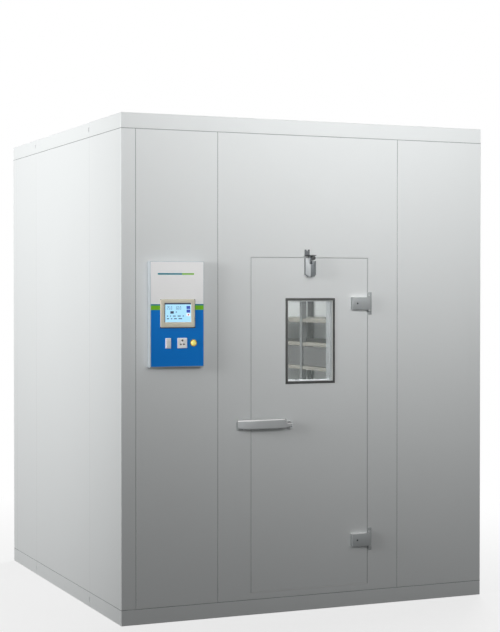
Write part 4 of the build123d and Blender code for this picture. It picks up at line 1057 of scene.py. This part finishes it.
class DressCloser(bpy.types.Operator):
    """Finishes the closer's body, arm, roller and hook."""

    bl_idname = "chamber.dress_closer"
    bl_label = "Door closer"

    def execute(self, context):
        chrome = once(chromed_zinc)
        # The left flank takes a lighter copy of the plating than the front and right: painted light and shade
        # on the facets
        softened(
            "closer_body", chrome, 0.8 * MM,
            second=once(painted_lit_flank_chrome), is_second=lambda face: face.normal.x < -0.3 and face.normal.y < -0.3,
        )
        softened("closer_arm", chrome, 0.6 * MM)
        softened("closer_hook", once(hook_zinc), 0.7 * MM)
        softened("closer_roller", once(hard_rubber), 1.0 * MM)
        low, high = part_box("closer_body")
        knob = bmesh.new()
        profile = [
            (7 * MM, 0), (7 * MM, 1 * MM), (6.2 * MM, 1.8 * MM), (2.5 * MM, 1.8 * MM), (2.2 * MM, 0.6 * MM),
            (0, 0.6 * MM),
        ]
        lathe(knob, profile, ((low.x + high.x) / 2, FRONT - 20 * MM, low.z), (0, 0, -1))
        add_piece("closer_speed_screw", knob, once(black_oxide_steel), "door", smooth=True)
        return {"FINISHED"}


class DressControlBox(bpy.types.Operator):
    """Coats the control box and prints its front with plain straight bands."""

    bl_idname = "chamber.dress_control_box"
    bl_label = "Control box"

    def execute(self, context):
        settings = context.scene.chamber_control
        softened("control_box", once(box_powder_coat), 2.0 * MM)
        softened("control_fascia", once(box_powder_coat), 0.8 * MM)
        low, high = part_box("control_fascia")
        hmi_low, hmi_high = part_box("hmi_housing")
        # The overlay reaches this far under each module's flange, and stays clear of the rocker
        laps = dict.fromkeys(("hmi_housing", "switch_frame", "power_socket"), 2 * MM)
        # The lamp is round, so its square opening has to lie within the bezel's circle
        round_share = 0.17
        bezel_low, bezel_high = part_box("lamp_bezel")
        laps["lamp_bezel"] = (bezel_high.x - bezel_low.x) * round_share
        openings = []
        for node, lap in laps.items():
            a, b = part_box(node)
            openings.append((a.x + lap, b.x - lap, a.z + lap, b.z - lap))
        x1, x2 = low.x + settings.border, high.x - settings.border
        z1, z2 = low.z + settings.border, high.z - settings.border
        field_top = hmi_high.z - settings.field_drop
        green_top = field_top + settings.green_height
        teal_top = green_top + settings.teal_height
        # A plain two-colour rule near the top of the front
        rule_z = z2 - 74 * MM
        rule_x = x1 + 42 * MM
        rule_split = rule_x + 150 * MM
        rule_end = rule_split + 74 * MM
        rule_height = 9 * MM
        across = {x1, x2, rule_x, rule_split, rule_end}
        up = {z1, z2, field_top, green_top, teal_top, rule_z, rule_z + rule_height}
        for a, b, c, d in openings:
            across.update((a, b))
            up.update((c, d))

        def index_at(x, z):
            if rule_z < z < rule_z + rule_height and rule_x < x < rule_end:
                return 3 if x < rule_split else 2
            if z < field_top:
                return 1
            return 2 if z < green_top else 3 if z < teal_top else 0

        shape = bmesh.new()
        face = low.y
        spans = (sorted(across), sorted(up))
        pierced_sheet(shape, spans, (face - settings.overlay_depth, face), openings, index_at)
        overlay = add_piece(
            "control_overlay", shape, printed_polyester("overlay_grey", settings.overlay, 1.0),
            "chamber",
        )
        for name, colour in (("blue", settings.lower), ("green", settings.green), ("teal", settings.teal)):
            overlay.data.materials.append(printed_polyester("overlay_" + name, colour))
        return {"FINISHED"}


class DressScreen(bpy.types.Operator):
    """Finishes the screen unit, paints its shadows and draws a plain picture of blocks and numbers."""

    bl_idname = "chamber.dress_screen"
    bl_label = "Screen unit"

    def execute(self, context):
        settings = context.scene.chamber_control
        softened("hmi_housing", once(textured_abs), 2.0 * MM)
        coat(lit_screen("screen_glow", settings.screen, 0.95), "hmi_screen")
        low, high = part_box("hmi_housing")
        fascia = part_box("control_fascia")[0].y
        # The gasket stands past the housing and is shifted right and down: a painted shadow of the screen
        # unit
        lip, shadow_offset = 2.5 * MM, 2 * MM
        width, height = high.x - low.x + 2 * lip, high.z - low.z + 2 * lip
        x, z = (low.x + high.x) / 2 + shadow_offset, (low.z + high.z) / 2 - shadow_offset
        gasket = bmesh.new()
        outline = rounded_outline(x, z, width, height, 4 * MM)
        prism(gasket, face_points(outline, fascia - 2 * MM), (0, 1 * MM, 0))
        add_piece("screen_shadow_gasket", gasket, once(painted_shadow_rubber), "chamber")
        low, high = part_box("hmi_screen")
        face = low.y
        thick = 0.3 * MM
        width, height = high.x - low.x, high.z - low.z

        def tile(shape, left, bottom, wide, tall):
            """Adds a thin tile; its place and size are shares of the screen."""
            x, z = low.x + left * width, low.z + bottom * height
            block(shape, (x, face - thick, z), (x + wide * width, face, z + tall * height))

        def digits(shape, text, left, bottom, wide, tall):
            """Adds seven-segment digits, read left to right."""
            segments = {
                "0": "abcdef", "1": "bc", "2": "abged", "3": "abgcd", "4": "fgbc",
                "5": "afgcd", "6": "afgedc", "7": "abc", "8": "abcdefg", "9": "abcdfg",
            }
            bar = wide * 0.2
            rise = bar * width / height
            places = {
                "a": (0, tall - rise, wide, rise), "d": (0, 0, wide, rise),
                "g": (0, (tall - rise) / 2, wide, rise),
                "b": (wide - bar, tall / 2, bar, tall / 2), "c": (wide - bar, 0, bar, tall / 2),
                "f": (0, tall / 2, bar, tall / 2), "e": (0, 0, bar, tall / 2),
            }
            for letter in text:
                if letter == ".":
                    tile(shape, left, bottom, bar, rise)
                    left += 2 * bar
                    continue
                for segment in segments[letter]:
                    dx, dz, w, h = places[segment]
                    tile(shape, left + dx, bottom + dz, w, h)
                left += wide * 1.35

        ink = bmesh.new()
        # A dark band along the top and a thin one down the left are painted shadow of the housing's edge on
        # the screen
        tile(ink, 0, 0.92, 1, 0.08)
        tile(ink, 0, 0, 0.03, 1)
        digits(ink, "25.0", 0.10, 0.66, 0.045, 0.16)
        digits(ink, "60.0", 0.44, 0.66, 0.045, 0.16)
        tile(ink, 0.22, 0.44, 0.13, 0.13)
        tile(ink, 0.42, 0.50, 0.05, 0.05)
        # Two rows of plain marks of different widths
        for row, marks in ((0.29, (0.05, 0.04, 0.10, 0.12, 0.05)), (0.15, (0.08, 0.05, 0.10, 0.13))):
            left = 0.09
            for mark in marks:
                tile(ink, left, row, mark, 0.05)
                left += mark + 0.07
        keys = bmesh.new()
        for k in range(2):
            tile(keys, 0.83, 0.68 - 0.19 * k, 0.14, 0.16)
        bars = bmesh.new()
        tile(bars, 0.83, 0.31, 0.14, 0.14)
        dot = bmesh.new()
        x, z = low.x + 0.9 * width, low.z + 0.38 * height
        disc = [(4.5 * MM, 0), (4.5 * MM, thick), (0, thick)]
        lathe(dot, disc, (x, face - thick, z), (0, -1, 0), sides=20)
        for name, marks, material in (
            ("screen_figures_and_shadow", ink, surface("screen_ink_and_shadow", linear("#1C2F56"), 0.3, 1, 0.01, spread=0.02)),
            ("screen_keys", keys, lit_screen("key_blue_glow", linear("#2A49B8"), 0.7)),
            ("screen_bars", bars, lit_screen("bar_white_glow", linear("#F4F8FC"), 0.9)),
            ("screen_stop_dot", dot, lit_screen("dot_red_glow", linear("#C8372E"), 0.8)),
        ):
            add_piece(name, marks, material, "chamber")
        return {"FINISHED"}


class DressModules(bpy.types.Operator):
    """Finishes the rocker switch, the socket and the lamp."""

    bl_idname = "chamber.dress_modules"
    bl_label = "Switch, socket and lamp"

    def execute(self, context):
        white = once(gloss_polycarbonate)
        softened("switch_frame", white, 0.8 * MM)
        softened("rocker_button", white, 0.5 * MM)
        softened("power_socket", white, 0.8 * MM)
        softened("lamp_bezel", once(spun_brass), 0.5 * MM)
        coat(once(glowing_lens), "lamp_lens")
        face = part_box("power_socket")[0].y
        # The near-black shutters deep in the holes are painted shade
        shutter_depth = 3.4 * MM
        shutters = bmesh.new()
        collars = bmesh.new()
        for name, disc, bore, rim in (
            ("socket_earth_hole", 3.4, 3.53, 6.2),
            ("socket_left_hole", 2.45, 2.54, 4.9),
            ("socket_right_hole", 2.45, 2.54, 4.9),
        ):
            at = place_of_mount(name)
            profile = [(disc * MM, 0), (disc * MM, 0.6 * MM), (0, 0.9 * MM)]
            lathe(shutters, profile, (at.x, face + shutter_depth, at.z), (0, -1, 0), sides=20)
            profile = [(bore, 0), (rim, 0), (rim - 0.2, 0.5), (bore + 0.6, 0.5), (bore, 0.2)]
            ring = [(radius * MM, height * MM) for radius, height in profile]
            lathe(collars, ring, (at.x, face, at.z), (0, -1, 0), sides=24, closed=True)
        add_piece("socket_shutters", shutters, once(hole_shade_black), "chamber")
        add_piece("socket_collars", collars, once(hole_shade_black), "chamber", smooth=True)
        return {"FINISHED"}


class DressAirUnit(bpy.types.Operator):
    """Finishes the air unit: casing, coil, fans, motors, guards, tray and heater."""

    bl_idname = "chamber.dress_air_unit"
    bl_label = "Air unit"

    def execute(self, context):
        settings = context.scene.chamber_air
        softened("cooler_casing", once(unit_powder_coat), 0.6 * MM)
        softened("drip_tray", once(brushed_stainless), 0.5 * MM)
        coat(once(fin_stock), "cooler_coil")
        coat(once(pressed_blade), "left_fan", "right_fan")
        coat(once(stoved_casting), "fan_motors")
        coat(once(heater_sheath), "heater_element")
        low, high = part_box("fan_guards")
        guards = bmesh.new()
        radius = (high.z - low.z) / 2 - settings.guard_wire
        depth = low.y + settings.guard_wire
        for fan in ("left_fan", "right_fan"):
            fan_low, fan_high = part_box(fan)
            centre = Vector(((fan_low.x + fan_high.x) / 2, depth, (fan_low.z + fan_high.z) / 2))
            for k in range(settings.guard_rings):
                share = (k + 1.6) / (settings.guard_rings + 0.6)
                ring_wire(guards, centre, (0, 1, 0), radius * share, settings.guard_wire)
            for k in range(4):
                turn = math.pi / 4 + math.pi / 2 * k
                out = Vector((math.cos(turn), 0, math.sin(turn)))
                inner = centre + out * (radius * 0.1) + Vector((0, 1.5 * settings.guard_wire, 0))
                wire = settings.guard_wire * 1.3
                lathe(guards, [(wire, 0), (wire, radius * 0.9)], inner, out, sides=10)
                lathe(guards, [(wire, 0), (wire, high.y - depth)], centre + out * radius, (0, 1, 0), sides=10)
            lathe(guards, [(radius * 0.2, 0), (radius * 0.2, 2 * MM)], centre, (0, 1, 0), sides=32)
        add_piece(
            "fan_guard_wires", guards, once(chromed_wire), "chamber", ("fan_guards",),
            smooth=True,
        )
        low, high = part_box("cooler_casing")
        screws = bmesh.new()
        count, edge = 8, 30 * MM
        for k in range(count):
            x = low.x + edge + (high.x - low.x - 2 * edge) * k / (count - 1)
            for z in (low.z + 12 * MM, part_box("left_fan")[1].z + 18 * MM):
                screw_head(screws, (x, low.y, z), (0, -1, 0), 4 * MM)
        add_piece("casing_screws", screws, once(zinc_plated_steel), "chamber", smooth=True)
        return {"FINISHED"}


class DressPipes(bpy.types.Operator):
    """Finishes the pipes, lags the cold ones and screws their cover plates on."""

    bl_idname = "chamber.dress_pipes"
    bl_label = "Service pipes"

    def execute(self, context):
        settings = context.scene.chamber_air
        coat(once(drawn_copper), "refrigerant_pipes")
        coat(once(brushed_stainless), "steam_pipe")
        coat(once(moulded_pvc), "drain_pipe")
        softened("pipe_flanges", once(moulded_pvc), 1.5 * MM)
        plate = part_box("pipe_flanges")[1].y
        # The lagging stops short of the stubs' ends, where the connections are made
        length = CAD_BOX[1].y - plate - 18 * MM
        lagging = bmesh.new()
        screws = bmesh.new()
        for name, radius, lagged in (
            ("suction_stub", 11 * MM, True), ("liquid_stub", 6 * MM, False),
            ("steam_stub", 14 * MM, True), ("drain_stub", 14 * MM, False),
        ):
            at = place_of_mount(name)
            outer = radius + settings.lagging
            if lagged:
                profile = [
                    (radius, 0), (outer, 0), (outer + 0.6 * MM, length * 0.4), (outer, length * 0.9),
                    (outer - 1.5 * MM, length), (radius, length),
                ]
                lathe(lagging, profile, (at.x, plate, at.z), (0, 1, 0))
            corner = radius + 12 * MM
            for dx in (-corner, corner):
                for dz in (-corner, corner):
                    screw_head(screws, (at.x + dx, plate, at.z + dz), (0, 1, 0), 3 * MM)
        add_piece("pipe_lagging", lagging, once(foam_lagging), "chamber", smooth=True)
        add_piece("flange_screws", screws, once(zinc_plated_steel), "chamber", smooth=True)
        return {"FINISHED"}


class DressLight(bpy.types.Operator):
    """Finishes the ceiling light and the air sensor."""

    bl_idname = "chamber.dress_light"
    bl_label = "Light and sensor"

    def execute(self, context):
        softened("light_base", once(unit_powder_coat), 1.5 * MM)
        softened("light_diffuser", once(opal_acrylic), 4.0 * MM, segments=3)
        coat(once(sintered_filter), "air_sensor")
        return {"FINISHED"}


class DressRacks(bpy.types.Operator):
    """Coats the racks' posts and shelves and closes one bay with drawer fronts."""

    bl_idname = "chamber.dress_racks"
    bl_label = "Sample racks"

    def execute(self, context):
        for side in ("left", "right"):
            coat(once(post_powder_coat), side + "_rack_posts")
            softened(side + "_rack_shelves", once(shelf_powder_coat), 0.6 * MM)
        settings = context.scene.chamber_racks
        low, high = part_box("right_rack_posts")
        middle = (low.y + high.y) / 2
        leg, gap = 36 * MM, 2 * MM
        base = settings.drawer_level
        top = base + settings.drawer_height
        x = low.x + 3 * MM
        fold, sheet = 14 * MM, 1.2 * MM
        # Pull: how far it stands out, half its length, and its edges below the front's top
        pull_out, pull_half, pull_low, pull_high = 2 * MM, 45 * MM, 34 * MM, 26 * MM
        section = (
            (x, base), (x + fold, base), (x + fold, base + sheet), (x + sheet, base + sheet),
            (x + sheet, top - sheet), (x + fold, top - sheet), (x + fold, top), (x, top),
        )
        fronts = bmesh.new()
        for start, end in ((low.y + leg, middle - leg / 2), (middle + leg / 2, high.y - leg)):
            half = (start + end) / 2
            for near, far in ((start + gap, half - gap), (half + gap, end - gap)):
                prism(fronts, [(a, near, b) for a, b in section], (0, far - near, 0))
                y = (near + far) / 2
                corner = (x - pull_out, y - pull_half, top - pull_low)
                block(fronts, corner, (x, y + pull_half, top - pull_high))
        enamel = once(drawer_powder_coat)
        add_piece("rack_drawer_fronts", fronts, enamel, "chamber", rounding=0.5 * MM)
        return {"FINISHED"}


class SetStage(bpy.types.Operator):
    """Adds the floor, the surroundings, the lamps and the camera."""

    bl_idname = "chamber.set_stage"
    bl_label = "Stage"

    def execute(self, context):
        settings = context.scene.chamber_stage
        scene = context.scene
        scene.view_settings.view_transform = "Standard"

        floor_shape = bmesh.new()
        bmesh.ops.create_grid(floor_shape, x_segments=1, y_segments=1, size=40)
        mesh = bpy.data.meshes.new("floor")
        floor_shape.to_mesh(mesh)
        floor_shape.free()
        floor = bpy.data.objects.new("floor", mesh)
        floor.location.z = -0.5 * MM
        scene.collection.objects.link(floor)
        mesh.materials.append(self.floor_material())
        scene.world = self.surroundings(settings.fill)

        def lamp(name, place, target, size, power, spread=180):
            """Adds a soft box that the camera doesn't see. A grid narrows its spread, in degrees."""
            data = bpy.data.lights.new(name, "AREA")
            data.size = size
            data.energy = power
            data.spread = math.radians(spread)
            made = bpy.data.objects.new(name, data)
            made.location = place
            made.rotation_euler = (Vector(target) - Vector(place)).to_track_quat("-Z", "Y").to_euler()
            made.visible_camera = False
            scene.collection.objects.link(made)
            return made

        # Both aim over the top, so that the walls darken downwards as they do in the photograph
        lamp("front_lamp", (0.05, -5.5, 3.53), (0.95, FRONT, 4.2), 2.5, settings.front_power, 97)
        lamp("side_lamp", (-7.5, -2.26, 3.03), (LEFT, 2.38, 4.2), 2.6, settings.side_power, 102)
        lamp("rear_lamp", (5.0, 5.2, 4.6), (0.4, 0.6, 1.6), 2.4, settings.rear_power)
        low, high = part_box("light_diffuser")
        centre = (low + high) / 2
        under = (centre.x, centre.y, low.z - 8 * MM)
        room = lamp("room_lamp", under, (centre.x, centre.y, 0), 0.5, settings.room_power)
        room.data.shape = "RECTANGLE"
        room.data.size_y = 0.08
        # Stands for the light that white goods and walls throw about inside
        glow = bpy.data.objects.new("room_fill", bpy.data.lights.new("room_fill", "POINT"))
        glow.data.energy = settings.room_fill
        glow.data.shadow_soft_size = 0.4
        glow.location = (0.0, 0.3, 1.25)
        for ray in ("camera", "glossy", "transmission"):
            setattr(glow, "visible_" + ray, False)
        scene.collection.objects.link(glow)

        camera = bpy.data.cameras.new("camera")
        camera.lens = settings.lens
        camera.clip_end = 200
        seen = bpy.data.objects.new("camera", camera)
        seen.location = (-4.0369, -9.6364, 1.9186)
        seen.rotation_euler = (math.radians(90 - 0.854), 0, math.radians(-23.356))
        scene.collection.objects.link(seen)
        scene.camera = seen
        return {"FINISHED"}

    def seen_directly(self, tree):
        """1 for rays from the camera, from a reflection or through glass, and 0 for all others."""
        ray = add_node(tree, "LightPath").outputs
        straight = {0: ray["Is Camera Ray"], 1: ray["Is Glossy Ray"]}
        either = add_node(tree, "Math", straight, operation="MAXIMUM")
        seen = {0: either.outputs[0], 1: ray["Is Transmission Ray"]}
        return add_node(tree, "Math", seen, operation="MAXIMUM").outputs[0]

    def floor_material(self):
        """Seamless studio paper: white to the eye with a soft shadow, and dim in what it throws back."""
        material = bpy.data.materials.new("studio_paper")
        material.use_nodes = True
        tree = material.node_tree
        tree.nodes.remove(tree.nodes["Principled BSDF"])
        points = add_node(tree, "TexCoord").outputs["Object"]
        distance = add_node(tree, "VectorMath", {0: points}, operation="LENGTH").outputs["Value"]
        # It fades to pure white away from the object
        fade = {"Value": distance, "From Min": 1.6, "From Max": 4.5, "To Min": 0.72, "To Max": 1.0}
        glow_share = add_node(tree, "MapRange", fade).outputs[0]
        paper = add_node(tree, "BsdfDiffuse", {"Color": linear("#F6F6F6")})
        glow = add_node(tree, "Emission", {"Color": linear("#FFFFFF"), "Strength": 1.0})
        seen = add_node(tree, "MixShader", {0: glow_share, 1: paper.outputs[0], 2: glow.outputs[0]})
        dim = add_node(tree, "BsdfDiffuse", {"Color": linear("#6A6A6A")})
        mix = {0: self.seen_directly(tree), 1: dim.outputs[0], 2: seen.outputs[0]}
        choice = add_node(tree, "MixShader", mix)
        tree.links.new(choice.outputs[0], tree.nodes["Material Output"].inputs["Surface"])
        return material

    def surroundings(self, fill):
        """White backdrop for the eye and for reflections, and a plain grey fill for everything else."""
        world = bpy.data.worlds.new("surroundings")
        world.use_nodes = True
        tree = world.node_tree
        grey = tree.nodes["Background"]
        grey.inputs["Color"].default_value = (fill, fill, fill, 1)
        white = add_node(tree, "Background", {"Color": linear("#FFFFFF"), "Strength": 1.0})
        mix = {0: self.seen_directly(tree), 1: grey.outputs[0], 2: white.outputs[0]}
        choice = add_node(tree, "MixShader", mix)
        tree.links.new(choice.outputs[0], tree.nodes["World Output"].inputs["Surface"])
        return world


OPERATORS = (
    DressPanels, DressDeck, DressLeaf, DressWindow, DressHinges, DressHandle, DressCloser, DressControlBox,
    DressScreen, DressModules, DressAirUnit, DressPipes, DressLight, DressRacks, SetStage,
)

GROUPS = {
    "chamber_enclosure": EnclosureSettings,
    "chamber_door": DoorSettings,
    "chamber_control": ControlSettings,
    "chamber_air": AirSettings,
    "chamber_racks": RackSettings,
    "chamber_stage": StageSettings,
}


class ChamberPanel(bpy.types.Panel):
    """Lists the settings and the operators in the sidebar."""

    bl_idname = "VIEW3D_PT_chamber"
    bl_label = "Test chamber"
    bl_space_type = "VIEW_3D"
    bl_region_type = "UI"
    bl_category = "Chamber"

    def draw(self, context):
        for name, group in GROUPS.items():
            box = self.layout.box()
            for key in group.__annotations__:
                box.prop(getattr(context.scene, name), key)
        for operator in OPERATORS:
            self.layout.operator(operator.bl_idname)


def register():
    """Registers the settings, the operators and the panel."""
    for name, group in GROUPS.items():
        bpy.utils.register_class(group)
        setattr(bpy.types.Scene, name, PointerProperty(type=group))
    for operator in OPERATORS:
        bpy.utils.register_class(operator)
    bpy.utils.register_class(ChamberPanel)


def unregister():
    """Takes the panel, the operators and the settings out again."""
    bpy.utils.unregister_class(ChamberPanel)
    for operator in reversed(OPERATORS):
        bpy.utils.unregister_class(operator)
    for name, group in GROUPS.items():
        delattr(bpy.types.Scene, name)
        bpy.utils.unregister_class(group)


def main():
    """Builds every piece in order."""
    register()
    for operator in OPERATORS:
        group, name = operator.bl_idname.split(".")
        getattr(getattr(bpy.ops, group), name)()


if __name__ == "__main__":
    main()
